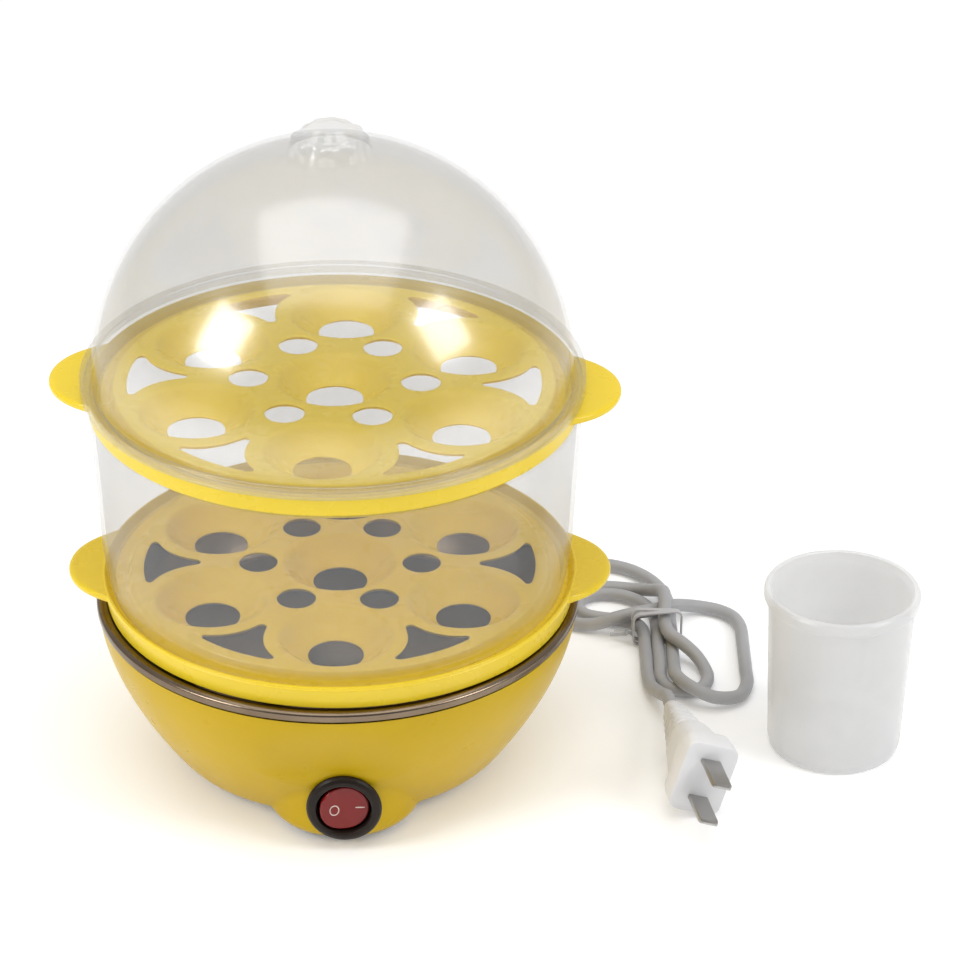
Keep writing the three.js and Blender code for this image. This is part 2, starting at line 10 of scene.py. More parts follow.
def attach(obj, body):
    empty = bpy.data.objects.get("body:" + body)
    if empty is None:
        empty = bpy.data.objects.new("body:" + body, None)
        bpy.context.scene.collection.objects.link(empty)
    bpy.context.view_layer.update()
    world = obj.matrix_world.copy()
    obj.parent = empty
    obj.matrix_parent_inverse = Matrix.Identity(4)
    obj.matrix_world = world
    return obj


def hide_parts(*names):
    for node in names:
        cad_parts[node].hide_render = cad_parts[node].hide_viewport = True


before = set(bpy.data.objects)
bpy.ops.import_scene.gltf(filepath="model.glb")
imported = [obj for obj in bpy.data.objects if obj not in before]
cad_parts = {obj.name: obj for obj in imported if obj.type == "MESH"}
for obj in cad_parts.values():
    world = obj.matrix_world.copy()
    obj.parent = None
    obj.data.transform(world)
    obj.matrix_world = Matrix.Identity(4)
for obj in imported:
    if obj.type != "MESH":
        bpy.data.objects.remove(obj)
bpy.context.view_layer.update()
scene = bpy.context.scene

# Lengths below are in millimetres unless a name ends in _m. The piece functions turn them into metres.
MM = 0.001

# Repeated from the CAD source
BOWL_BOTTOM_R, BOWL_BOTTOM_Z = 52.6, 3.0
BOWL_TOP_R, BOWL_TOP_Z = 75.2, 51.5
BOWL_CURVE = 1.6
WALL = 2.2
BOSS_X, BOSS_Y, BOSS_R, BOSS_TOP = 3.0, -42.0, 23.8, 28.0
SWITCH_X, SWITCH_Y, SWITCH_Z = 4.0, -65.4, 15.6
SCREW_RING, SCREW_AZIMUTHS = 45.5, (2, 178, 240, 300)
FOOT_RING, FOOT_AZIMUTHS = 43.5, (25, 155, 205, 335)
BEZEL_R, MOUTH_R, ROCKER_R, HINGE_BACK = 11.5, 8.4, 7.6, 1.0
CUP_RING, CUP_R, CUP_SPHERE, CUP_HOLE_R = 45.4, 17.2, 22.0, 8.6
SMALL_RING, SMALL_R = 26.0, 6.0
DECK_R = 66.5
TRAY_DEPTH, TRAY_THICK, TRAY_CHANNEL, TRAY_STEP = 7.8, 1.4, 2.4, 5.7
EAR_TIP, EAR_R, EAR_THICK, EAR_DROP = 86.2, 22.6, 2.2, 0.3
LOWER = dict(name="lower_tray", x=0.6, top=63.5, wall=74.3, scale=0.985, turn=0.7, stepped=False)
UPPER = dict(name="upper_tray", x=-0.3, top=127.8, wall=75.4, scale=1.015, turn=-2.1, stepped=True)
RING_X, RING_BOTTOM, RING_TOP = 0.1, 61.4, 121.8
LID_X, LID_R, LID_CENTRE, LID_THICK = -0.6, 73.6, 130.6, 1.4
LID_FLANGE_R, LID_FLANGE_TOP = 77.1, 132.2
KNOB_BOTTOM, KNOB_TOP = 202.6, 212.4
CUP_X, CUP_Y, CUP_RIM_Z, CUP_TOP_Z = 158.6, -1.8, 52.6, 57.2
CORD_R, CORD_Z = 2.2, 2.4
EXIT_Y, EXIT_Z, EXIT_INSIDE, EXIT_WALL = 75.0, 11.0, 48.9, 51.9
TIE_X, TIE_Y, TIE_TURN, TIE_LOW, TIE_HIGH, TIE_MIDDLE = 104.1, 58.0, 5.0, 3.7, 8.2, 6.35
PLUG_X, PLUG_Y, PLUG_Z, PLUG_HEADING, PLUG_NOSE_UP, PLUG_ROLL = 114.4, -46.5, 14.2, 9.2, 5.2, 18.0

WORLD_FRONT, WORLD_TOP = 0.12, 0.60      # brightness of the room straight in front, and overhead


# ---------------------------------------------------------------- camera
def make_camera():
    yaw, pitch, roll = math.radians(-0.138), math.radians(28.661), math.radians(0.4816)
    level_right = Vector((math.cos(yaw), -math.sin(yaw), 0))
    ahead = Vector((math.sin(yaw) * math.cos(pitch), math.cos(yaw) * math.cos(pitch), -math.sin(pitch)))
    level_up = level_right.cross(ahead)
    right = math.cos(roll) * level_right + math.sin(roll) * level_up
    up = -math.sin(roll) * level_right + math.cos(roll) * level_up
    data = bpy.data.cameras.new("camera")
    data.sensor_width = 36
    data.lens = 131.25
    data.clip_start, data.clip_end = 0.05, 50
    camera = bpy.data.objects.new("camera", data)
    scene.collection.objects.link(camera)
    turn = Matrix((right, up, -ahead)).transposed().to_4x4()
    camera.matrix_world = Matrix.Translation(Vector((46.59, -951.14, 613.33)) * MM) @ turn
    scene.camera = camera


make_camera()


# ---------------------------------------------------------------- node helpers
class Nodes:
    """A short way to build one material's node tree."""

    def __init__(self, name):
        self.material = bpy.data.materials.new(name)
        self.material.use_nodes = True
        self.tree = self.material.node_tree
        self.tree.nodes.clear()
        self.output = self.add("ShaderNodeOutputMaterial")
        self.shader = self.add("ShaderNodeBsdfPrincipled")
        self.link(self.shader.outputs[0], self.output.inputs[0])

    def add(self, kind, **settings):
        node = self.tree.nodes.new(kind)
        for key, value in settings.items():
            setattr(node, key, value)
        return node

    def link(self, a, b):
        self.tree.links.new(a, b)

    def set(self, **values):
        for key, value in values.items():
            self.shader.inputs[key.replace("_", " ")].default_value = value

    def place(self, stretch=(1, 1, 1)):
        """The piece's own coordinates in metres, stretched."""
        coordinates = self.add("ShaderNodeTexCoord")
        mapping = self.add("ShaderNodeMapping")
        mapping.inputs["Scale"].default_value = stretch
        self.link(coordinates.outputs["Object"], mapping.inputs["Vector"])
        return mapping.outputs[0]

    def noise(self, vector, scale, detail=3, roughness=0.5):
        node = self.add("ShaderNodeTexNoise")
        node.inputs["Scale"].default_value = scale
        node.inputs["Detail"].default_value = detail
        node.inputs["Roughness"].default_value = roughness
        self.link(vector, node.inputs["Vector"])
        return node.outputs["Fac"]

    def remap(self, value, low, high, from_low=0.3, from_high=0.7):
        node = self.add("ShaderNodeMapRange")
        node.inputs["From Min"].default_value = from_low
        node.inputs["From Max"].default_value = from_high
        node.inputs["To Min"].default_value = low
        node.inputs["To Max"].default_value = high
        self.link(value, node.inputs["Value"])
        return node.outputs[0]

    def mix(self, factor, a, b):
        node = self.add("ShaderNodeMix", data_type="RGBA")
        self.link(factor, node.inputs["Factor"])
        for socket, value in (("A", a), ("B", b)):
            target = [s for s in node.inputs if s.name == socket and s.type == "RGBA"][0]
            if isinstance(value, tuple):
                target.default_value = (*value, 1)
            else:
                self.link(value, target)
        return [s for s in node.outputs if s.type == "RGBA"][0]

    def bump(self, height, strength, distance):
        node = self.add("ShaderNodeBump")
        node.inputs["Strength"].default_value = strength
        node.inputs["Distance"].default_value = distance
        self.link(height, node.inputs["Height"])
        self.link(node.outputs[0], self.shader.inputs["Normal"])


def moulded(name, dark, light, roughness, grain=900, bump=0.04, mottle=28, **sockets):
    """Injection-moulded plastic: clouded colour, uneven gloss and a fine skin."""
    nodes = Nodes(name)
    where = nodes.place()
    clouds = nodes.noise(where, mottle, 4, 0.6)
    nodes.link(nodes.mix(nodes.remap(clouds, 0, 1), dark, light), nodes.shader.inputs["Base Color"])
    fine = nodes.noise(where, grain, 2, 0.5)
    patches = nodes.noise(where, mottle * 3, 3, 0.6)
    nodes.link(nodes.remap(patches, roughness[0], roughness[1]), nodes.shader.inputs["Roughness"])
    nodes.bump(fine, bump, 0.0004)
    nodes.set(**sockets)
    return nodes.material


def frosted(name, tint, alpha, edge_alpha, roughness, gloss=1.0):
    """Thin frosted polypropylene: mostly see-through, with a milky veil that thickens towards its edges."""
    nodes = Nodes(name)
    where = nodes.place()
    clouds = nodes.noise(where, 22, 4, 0.55)
    darker = tuple(0.93 * c for c in tint)
    nodes.link(nodes.mix(nodes.remap(clouds, 0, 1), darker, tint), nodes.shader.inputs["Base Color"])
    nodes.link(nodes.remap(nodes.noise(where, 60, 3), roughness - 0.03, roughness + 0.03),
               nodes.shader.inputs["Roughness"])
    facing = nodes.add("ShaderNodeLayerWeight")
    facing.inputs["Blend"].default_value = 0.5
    power = nodes.add("ShaderNodeMath", operation="POWER")
    nodes.link(facing.outputs["Facing"], power.inputs[0])
    power.inputs[1].default_value = 4.0
    veil = nodes.remap(power.outputs[0], alpha, edge_alpha, 0, 1)
    streaks = nodes.remap(clouds, -0.012, 0.012)
    total = nodes.add("ShaderNodeMath", operation="ADD", use_clamp=True)
    nodes.link(veil, total.inputs[0])
    nodes.link(streaks, total.inputs[1])
    nodes.link(total.outputs[0], nodes.shader.inputs["Alpha"])
    nodes.bump(nodes.noise(where, 1400, 2), 0.03, 0.0003)
    nodes.set(IOR=2.2, Specular_IOR_Level=gloss, Coat_Weight=gloss, Coat_IOR=2.4, Coat_Roughness=0.14)
    return nodes.material


def metal(name, dark, light, roughness, spun=True, anisotropic=0.4):
    """Metal with spun or drawn lines in its colour, gloss and skin."""
    nodes = Nodes(name)
    if spun:
        coordinates = nodes.add("ShaderNodeTexCoord")
        split = nodes.add("ShaderNodeSeparateXYZ")
        nodes.link(coordinates.outputs["Object"], split.inputs[0])
        flat = nodes.add("ShaderNodeCombineXYZ")
        nodes.link(split.outputs[0], flat.inputs[0])
        nodes.link(split.outputs[1], flat.inputs[1])
        radius = nodes.add("ShaderNodeVectorMath", operation="LENGTH")
        nodes.link(flat.outputs[0], radius.inputs[0])
        where_node = nodes.add("ShaderNodeCombineXYZ")
        nodes.link(radius.outputs["Value"], where_node.inputs[0])
        nodes.link(split.outputs[2], where_node.inputs[2])
        where = where_node.outputs[0]
    else:
        where = nodes.place((1, 12, 12))
    lines = nodes.noise(where, 1800, 2, 0.6)
    clouds = nodes.noise(nodes.place(), 45, 3, 0.6)
    nodes.link(nodes.mix(nodes.remap(clouds, 0, 1), dark, light), nodes.shader.inputs["Base Color"])
    nodes.link(nodes.remap(lines, roughness[0], roughness[1]), nodes.shader.inputs["Roughness"])
    nodes.bump(lines, 0.05, 0.0002)
    nodes.set(Metallic=1.0, Anisotropic=anisotropic)
    return nodes.material


# The base takes a darker copy of the trays' yellow plastic: painted shade for the dim light on the bowl's front
yellow = moulded("base_polypropylene_painted_shade", (0.53, 0.350, 0.004), (0.57, 0.380, 0.006), (0.27, 0.36),
                 Specular_IOR_Level=0.2)
tray_yellow = moulded("tray_polypropylene", (0.78, 0.565, 0.012), (0.83, 0.605, 0.018), (0.24, 0.33))
# The tray plates take a brighter copy of the same yellow as the ears and ribs: painted light, standing in for light
# the frosted dome and ring hold back
plate_yellow_painted_light = moulded("plate_polypropylene_painted_light", (0.90, 0.650, 0.012), (0.95, 0.690, 0.018), (0.24, 0.33))
black = moulded("black_nylon", (0.010, 0.006, 0.004), (0.015, 0.009, 0.006), (0.34, 0.48), grain=1600, bump=0.12,
                Specular_IOR_Level=0.25)
rubber = moulded("foot_rubber", (0.030, 0.029, 0.028), (0.045, 0.043, 0.041), (0.7, 0.85), grain=1200, bump=0.2)
rocker_red = moulded("rocker_red", (0.17, 0.004, 0.004), (0.21, 0.006, 0.006), (0.10, 0.17), grain=500,
                     bump=0.02, Specular_IOR_Level=0.3, Coat_Weight=0.25, Coat_Roughness=0.06)
mark_white = moulded("mark_white", (0.62, 0.50, 0.45), (0.70, 0.60, 0.55), (0.4, 0.5))
cord_grey = moulded("cord_pvc", (0.36, 0.36, 0.37), (0.43, 0.43, 0.44), (0.42, 0.55), grain=1500, bump=0.1)
plug_grey = moulded("plug_pvc", (0.66, 0.66, 0.67), (0.73, 0.73, 0.74), (0.38, 0.5), grain=1500, bump=0.08)
tie_grey = moulded("tie_plastic", (0.45, 0.45, 0.46), (0.55, 0.55, 0.56), (0.35, 0.5))
ceramic = moulded("fuse_ceramic", (0.70, 0.66, 0.58), (0.80, 0.77, 0.70), (0.55, 0.7))
lid_frost = frosted("lid_polypropylene", (0.20, 0.20, 0.20), 0.19, 0.36, 0.24)
ring_frost = frosted("ring_polypropylene", (0.30, 0.30, 0.30), 0.17, 0.36, 0.30, gloss=0.5)
cup_frost = frosted("cup_polypropylene", (0.78, 0.78, 0.78), 0.50, 0.66, 0.35, gloss=0.2)
# The steel's colour is held dark and brown: painted shade, darkening its reflections as if a dark room stood in front
steel = metal("spun_steel_painted_shade", (0.17, 0.125, 0.085), (0.24, 0.185, 0.135), (0.16, 0.26))
zinc = metal("zinc_plate", (0.48, 0.48, 0.47), (0.60, 0.60, 0.59), (0.28, 0.42), spun=False)
aluminium = metal("cast_aluminium", (0.55, 0.55, 0.56), (0.66, 0.66, 0.67), (0.34, 0.5), spun=False)
blade_metal = metal("nickel_blade", (0.36, 0.35, 0.34), (0.45, 0.44, 0.43), (0.22, 0.34), spun=False)


# ---------------------------------------------------------------- mesh helpers
def paint(obj, material):
    obj.data.materials.clear()
    obj.data.materials.append(material)


def piece(name, verts, faces, material, body, slot=None, replaces=(), matrix=None, angle=40):
    """A new mesh piece from points in millimetres, facing out, smooth up to angle."""
    mesh = bpy.data.meshes.new(name)
    points = np.asarray(verts, float) * MM
    mesh.from_pydata([tuple(p) for p in points], [], faces)
    if matrix is not None:
        mesh.transform(matrix)
    bm = bmesh.new()
    bm.from_mesh(mesh)
    bmesh.ops.remove_doubles(bm, verts=bm.verts, dist=1e-6)
    bmesh.ops.recalc_face_normals(bm, faces=bm.faces)
    bm.to_mesh(mesh)
    bm.free()
    mesh.shade_smooth()
    mesh.set_sharp_from_angle(angle=math.radians(angle))
    obj = bpy.data.objects.new(name, mesh)
    scene.collection.objects.link(obj)
    paint(obj, material)
    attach(obj, body)
    if replaces:
        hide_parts(*replaces)
    return obj


def stack(*parts):
    """Joins (verts, faces) lists into one."""
    verts, faces = [], []
    for v, f in parts:
        base = len(verts)
        verts.extend([tuple(p) for p in v])
        faces.extend([tuple(base + i for i in face) for face in f])
    return verts, faces


def fillet(points, radius, steps=4, closed=True):
    """Rounds the corners of an outline. radius is one number, or one for each point."""
    pts = [np.asarray(p, float) for p in points]
    count = len(pts)
    radii = [radius] * count if np.isscalar(radius) else list(radius)
    out = []
    for i, p in enumerate(pts):
        if radii[i] <= 0 or (not closed and i in (0, count - 1)):
            out.append(tuple(p))
            continue
        a, b = pts[i - 1], pts[(i + 1) % count]
        da, db = a - p, b - p
        la, lb = np.linalg.norm(da), np.linalg.norm(db)
        if la < 1e-9 or lb < 1e-9:
            continue
        da, db = da / la, db / lb
        half = math.acos(float(np.clip(da @ db, -1, 1))) / 2
        if half > math.radians(88):
            out.append(tuple(p))
            continue
        reach = min(radii[i] / math.tan(half), 0.46 * la, 0.46 * lb)
        start, end = p + da * reach, p + db * reach
        for k in range(steps + 1):
            t = k / steps
            out.append(tuple((1 - t) ** 2 * start + 2 * t * (1 - t) * p + t * t * end))
    return out


def lathe(profile, segments=160, centre=(0, 0), shape=None):
    """A turned solid from a closed outline of (radius, height) points, as (verts, faces)."""
    verts, faces, rings = [], [], []
    for r, z in profile:
        if r < 1e-6:
            rings.append([len(verts)])
            verts.append((centre[0], centre[1], z))
            continue
        start = len(verts)
        rings.append(list(range(start, start + segments)))
        for k in range(segments):
            phi = 2 * math.pi * k / segments
            rr = r if shape is None else shape(r, z, phi)
            verts.append((centre[0] + rr * math.cos(phi), centre[1] + rr * math.sin(phi), z))
    for a, b in zip(rings, rings[1:] + rings[:1]):
        if len(a) == 1 and len(b) == 1:
            continue
        for k in range(segments):
            n = (k + 1) % segments
            if len(a) == 1:
                faces.append((a[0], b[n], b[k]))
            elif len(b) == 1:
                faces.append((a[k], a[n], b[0]))
            else:
                faces.append((a[k], a[n], b[n], b[k]))
    return verts, faces


def loft(sections, closed_ends=True):
    """Skins a list of equal-length point loops."""
    verts, faces = [], []
    n = len(sections[0])
    for loop in sections:
        verts.extend(tuple(p) for p in loop)
    for s in range(len(sections) - 1):
        for k in range(n):
            m = (k + 1) % n
            faces.append((s * n + k, s * n + m, (s + 1) * n + m, (s + 1) * n + k))
    if closed_ends:
        last = (len(sections) - 1) * n
        faces.append(tuple(range(n)))
        faces.append(tuple(range(last, last + n)))
    return verts, faces


def apply_modifiers(obj):
    graph = bpy.context.evaluated_depsgraph_get()
    fresh = bpy.data.meshes.new_from_object(obj.evaluated_get(graph))
    old = obj.data
    obj.modifiers.clear()
    obj.data = fresh
    bpy.data.meshes.remove(old)


def carve(obj, cutters):
    """Cuts closed (verts, faces) shapes, in millimetres, out of a piece."""
    made = []
    for i, (verts, faces) in enumerate(cutters):
        mesh = bpy.data.meshes.new("cutter")
        mesh.from_pydata([tuple(np.asarray(v) * MM) for v in verts], [], faces)
        bm = bmesh.new()
        bm.from_mesh(mesh)
        bmesh.ops.recalc_face_normals(bm, faces=bm.faces)
        bm.to_mesh(mesh)
        bm.free()
        cutter = bpy.data.objects.new("cutter", mesh)
        scene.collection.objects.link(cutter)
        modifier = obj.modifiers.new(f"cut_{i}", "BOOLEAN")
        modifier.object = cutter
        modifier.operation = "DIFFERENCE"
        modifier.solver = "EXACT"
        made.append(cutter)
    apply_modifiers(obj)
    for cutter in made:
        mesh = cutter.data
        bpy.data.objects.remove(cutter)
        bpy.data.meshes.remove(mesh)


def rod(r, start, end, sides=48):
    """A plain round bar between two points, used for cutting."""
    a, b = Vector(start), Vector(end)
    turn = (b - a).to_track_quat("Z", "Y").to_matrix()
    loops = []
    for centre in (a, b):
        loops.append([centre + turn @ Vector((r * math.cos(2 * math.pi * k / sides),
                                              r * math.sin(2 * math.pi * k / sides), 0)) for k in range(sides)])
    return loft(loops)


# ---------------------------------------------------------------- mains lead
plug_turn = (Matrix.Rotation(math.radians(PLUG_HEADING), 4, "Z")
             @ Matrix.Rotation(math.radians(-PLUG_NOSE_UP), 4, "X")
             @ Matrix.Rotation(math.radians(PLUG_ROLL), 4, "Y"))
plug_frame = Matrix.Translation(Vector((PLUG_X, PLUG_Y, PLUG_Z)) * MM) @ plug_turn


def plug_point(x, y, z):
    return tuple(Vector((PLUG_X, PLUG_Y, PLUG_Z)) + plug_turn.to_3x3() @ Vector((x, y, z)))


def flat(*points):
    return [(*p, CORD_Z) if len(p) == 2 else p for p in points]


def cord_route():
    return [
        # out of the base and round behind it
        *flat((0, EXIT_Y + 0.6, EXIT_Z), (0, 81.5, 10.9), (-1.4, 87.5, 9.4), (-5.4, 93, 6.4), (-11.4, 97, 3.6),
          (-18.5, 98.4), (-25.6, 100.6), (-30.6, 105.8), (-32.2, 112.4), (-30.4, 119), (-25.2, 124.2), (-18, 126),
          (-8, 125.2), (4, 121.6), (16, 115.8), (28, 108.8), (40, 100.6), (51, 91), (60, 81), (68, 72.2)),
        # over the strands behind the tie and round the outer loop
        *flat((75.6, 66.4), (83.5, 63.6, 3.6), (90, 63.4, 6.2), (97, 65, 7.3), (103.6, 67.4, 7.3), (109.4, 71, 6.8),
          (114, 75, 4.6), (120, 77, 2.8), (126, 75.4), (130.6, 71), (132.6, 64.6), (132.8, 56), (132.8, 47),
          (132.8, 37.6), (132.6, 28.2), (129.2, 20, 2.8), (121, 16.6, 4.6), (112.8, 20, 6.9), (109.3, 28.2, 5.6),
          (109, 37, 3)),
        *flat((109, 47), (108.9, 58, TIE_LOW), (108.9, 68, 2.6), (109, 77), (107.6, 86.4), (103.6, 95), (97, 102),
          (89.4, 105.6), (81.8, 106.2), (75.8, 103.6), (73.6, 98.2), (75.8, 92.6), (81.4, 90), (89, 90.4),
          (96.6, 89, 2.6), (102.4, 84.6, 4.8), (105.6, 78.2, 8.6), (106.8, 72, 11.4), (106.9, 66.4, 11.4),
          (106.7, 61.6, 9.2)),
        # through the tie to the inner loop
        *flat((106.6, 57, TIE_HIGH), (108, 51.6, 7.4), (111.8, 47.4, 6.6), (116.2, 43.4, 4.4), (119.2, 37.8),
          (119.8, 31), (117.6, 25.6), (112.2, 23.4), (106.8, 25.6), (104.5, 31), (104.4, 39), (104.3, 48),
          (104.2, 58, TIE_LOW), (104.2, 66, 2.6), (103.2, 73.4), (99.6, 80.2), (93.4, 84.6), (86, 85.6),
          (80.2, 83), (78, 77.4), (80.2, 72), (86, 69.6), (92.4, 68.2), (97.8, 64.4, 3), (99.6, 58, TIE_LOW)),
        # lead to the plug
        *flat((99.9, 50.4, 2.6), (100.1, 42.6), (100.1, 34.6), (100.8, 26.8, 2.8), (102.4, 19.6, 5),
          (104.2, 12.8, 7.8)),
        plug_point(0, 57, 0.2),
        plug_point(0, 50, 0),
    ]


def centripetal(points, per_span):
    """A centripetal Catmull-Rom curve through the points."""
    pts = [np.asarray(p, float) for p in points]
    pts = [2 * pts[0] - pts[1], *pts, 2 * pts[-1] - pts[-2]]
    out = []
    for p0, p1, p2, p3 in zip(pts, pts[1:], pts[2:], pts[3:]):
        t1 = np.linalg.norm(p1 - p0) ** 0.5
        t2 = t1 + np.linalg.norm(p2 - p1) ** 0.5
        t3 = t2 + np.linalg.norm(p3 - p2) ** 0.5
        for k in range(per_span):
            t = t1 + (t2 - t1) * k / per_span
            a1 = (t1 - t) / t1 * p0 + t / t1 * p1
            a2 = (t2 - t) / (t2 - t1) * p1 + (t - t1) / (t2 - t1) * p2
            a3 = (t3 - t) / (t3 - t2) * p2 + (t - t2) / (t3 - t2) * p3
            b1 = (t2 - t) / t2 * a1 + t / t2 * a2
            b2 = (t3 - t) / (t3 - t1) * a2 + (t - t1) / (t3 - t1) * a3
            out.append((t2 - t) / (t2 - t1) * b1 + (t - t1) / (t2 - t1) * b2)
    out.append(pts[-2])
    return np.array(out)


def make_cord():
    line = centripetal(cord_route(), 6)
    curve = bpy.data.curves.new("power_lead", "CURVE")
    curve.dimensions = "3D"
    spline = curve.splines.new("POLY")
    spline.points.add(len(line) - 1)
    for point, co in zip(spline.points, line):
        point.co = (*(co * MM), 1)
    spline.use_smooth = True
    curve.bevel_depth = CORD_R * MM
    curve.bevel_resolution = 6
    curve.use_fill_caps = True
    lead = bpy.data.objects.new("power_lead", curve)
    scene.collection.objects.link(lead)
    curve.materials.append(cord_grey)
    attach(lead, "base")
    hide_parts("power_cord")
    length = float(np.linalg.norm(np.diff(line, axis=0), axis=1).sum())
    return lead, length * MM


def rounded_rect(width, depth, corner, y, per_corner=7):
    """A loop of the plug's section at y: width along X, depth along Z."""
    loop = []
    for cx, cz, start in ((1, 1, 0), (-1, 1, 90), (-1, -1, 180), (1, -1, 270)):
        for k in range(per_corner):
            a = math.radians(start + 90 * k / (per_corner - 1))
            loop.append((cx * (width / 2 - corner) + corner * math.cos(a), y,
                         cz * (depth / 2 - corner) + corner * math.sin(a)))
    return loop


def make_plug():
    outer = [
        (0, 10, 16, 2.5), (0, 15.6, 22.6, 2.8), (0.3, 16.6, 23.6, 3.3), (1.0, 17, 24, 3.5), (6, 16.9, 23.9, 3.7),
        (9.6, 16.5, 23.4, 4.0), (10.8, 15.6, 22.2, 4.2), (11.6, 14.4, 20.6, 4.4), (14, 13.9, 19.6, 4.6),
        (18, 13.2, 18.0, 4.8), (22, 12.6, 16.8, 4.9), (24.6, 12.1, 15.9, 4.9), (25.6, 11.2, 14.8, 4.8),
        (26, 9.4, 13, 4.2),
    ]
    shape = loft([rounded_rect(w, d, c, y) for y, w, d, c in outer])
    plug = piece("plug_shell", *shape, plug_grey, "base", "pale_grey_plastic", ["plug_body"], plug_frame)
    sections = [(26.3, 7.4, 9.0, 2.9)]
    for i in range(5):
        w, d, start = 10.6 - i, 12.6 - 1.3 * i, 27 + 4 * i
        core_w, core_d = 7.4 - 0.55 * i, 9.0 - 0.85 * i
        sections += [
            (start - 0.3, core_w, core_d, core_w * 0.4), (start - 0.05, w - 0.7, d - 0.7, w * 0.3),
            (start + 0.4, w, d, w * 0.32), (start + 2.0, w, d, w * 0.32), (start + 2.45, w - 0.7, d - 0.7, w * 0.3),
            (start + 2.7, core_w - 0.3, core_d - 0.5, core_w * 0.38),
        ]
    sections += [(47.5, 5.5, 5.9, 2.5), (49.1, 5.2, 5.3, 2.4), (49.3, 4.8, 4.9, 2.2)]
    shape = loft([rounded_rect(w, d, c, y) for y, w, d, c in sections])
    relief = piece("plug_relief", *shape, plug_grey, "base", "pale_grey_plastic", ["plug_strain_relief"], plug_frame)
    blades = []
    for name, side in (("upper", 1), ("lower", -1)):
        loops = []
        for y, inset in ((-0.3, 0), (-15.6, 0), (-16.8, 0.35), (-17.3, 1.0)):
            w, t = 6.3 / 2 - inset, 1.5 / 2 - inset * 0.45
            c = 0.18
            loops.append([(x, y, side * 6.35 + z) for x, z in (
                (w, t - c), (w - c, t), (c - w, t), (-w, t - c), (-w, c - t), (c - w, -t), (w - c, -t), (w, c - t))])
        blade = piece(f"blade_{name}", *loft(loops), blade_metal, "base", "brass", [f"plug_blade_{name}"],
                      plug_frame, angle=30)
        blades.append(blade)
    return [plug, relief, *blades]


def make_tie():
    """A flat plastic tie wound twice round the strands, its ends twisted together."""
    turn = (Matrix.Translation(Vector((TIE_X, TIE_Y, TIE_MIDDLE)) * MM)
            @ Matrix.Rotation(math.radians(TIE_TURN), 4, "Z"))
    parts = []
    for lean, shift in ((0.10, -0.95), (-0.13, 0.95)):
        base = rounded_rect(16.4, 11.7, 2.4, 0, 6)
        base = [(x, z) for x, _, z in base]
        loops = []
        for k, (x, z) in enumerate(base):
            nx, nz = x / 8.2, z / 5.85
            size = math.hypot(nx, nz)
            nx, nz = nx / size, nz / size
            y = shift + lean * x
            half, thick = 0.85, 0.28
            loops.append([(x - nx * thick, y - half, z - nz * thick), (x + nx * thick, y - half, z + nz * thick),
                          (x + nx * thick * 1.4, y, z + nz * thick * 1.4),
                          (x + nx * thick, y + half, z + nz * thick), (x - nx * thick, y + half, z - nz * thick)])
        verts, faces = loft(loops + [loops[0]], closed_ends=False)
        parts.append((verts, faces))
    for end, (dx, dy, dz) in enumerate(((-8.4, -1.0, 0.3), (-6.6, 2.6, -1.1))):
        loops = []
        start = np.array([-7.6, 0.2, -2.2])
        for k in range(15):
            t = k / 14
            centre = start + np.array([dx * t, dy * t * (1.5 - 0.5 * t), dz * t])
            a = math.pi * (1.6 * min(1, 2.2 * t) + end)
            c, s = math.cos(a), math.sin(a)
            half, thick = 0.85, 0.28
            corners = ((half, thick), (-half, thick), (-half, -thick), (half, -thick))
            loops.append([(centre[0], centre[1] + c * u - s * v, centre[2] + s * u + c * v) for u, v in corners])
        parts.append(loft(loops))
    return piece("bag_tie", *stack(*parts), tie_grey, "base", "grey_cord", ["twist_tie"], turn)


lead, lead_length_m = make_cord()
plug_pieces = make_plug()
tie = make_tie()


# ---------------------------------------------------------------- base
def bowl_radius(z):
    t = min(1, max(0, (z - BOWL_BOTTOM_Z) / (BOWL_TOP_Z - BOWL_BOTTOM_Z)))
    return BOWL_BOTTOM_R + (BOWL_TOP_R - BOWL_BOTTOM_R) * (1 - (1 - t) ** BOWL_CURVE)


def smooth_max(a, b, k):
    h = max(k - abs(a - b), 0) / k
    return max(a, b) + h * h * k / 4


def smooth_min(a, b, k):
    return -smooth_max(-a, -b, k)


def base_radius(phi, z):
    """Distance from the axis to the base's outer skin: bowl and switch boss, trimmed by the switch face."""
    c, s = math.cos(phi), math.sin(phi)
    r = bowl_radius(z)
    along = BOSS_X * c + BOSS_Y * s
    off = BOSS_X ** 2 + BOSS_Y ** 2 - along ** 2
    if along > 0 and off < BOSS_R ** 2:
        reach = along + math.sqrt(BOSS_R ** 2 - off)
        r = smooth_max(r, reach, 0.9)
    if s < -0.2:
        lean = max(0, z - BOSS_TOP) / (BOWL_TOP_Z - 3 - BOSS_TOP)
        plane = -SWITCH_Y + (BOWL_TOP_R + SWITCH_Y) * min(1.15, lean) ** 1.15
        r = smooth_min(r, plane / -s, 1.8)
    return r


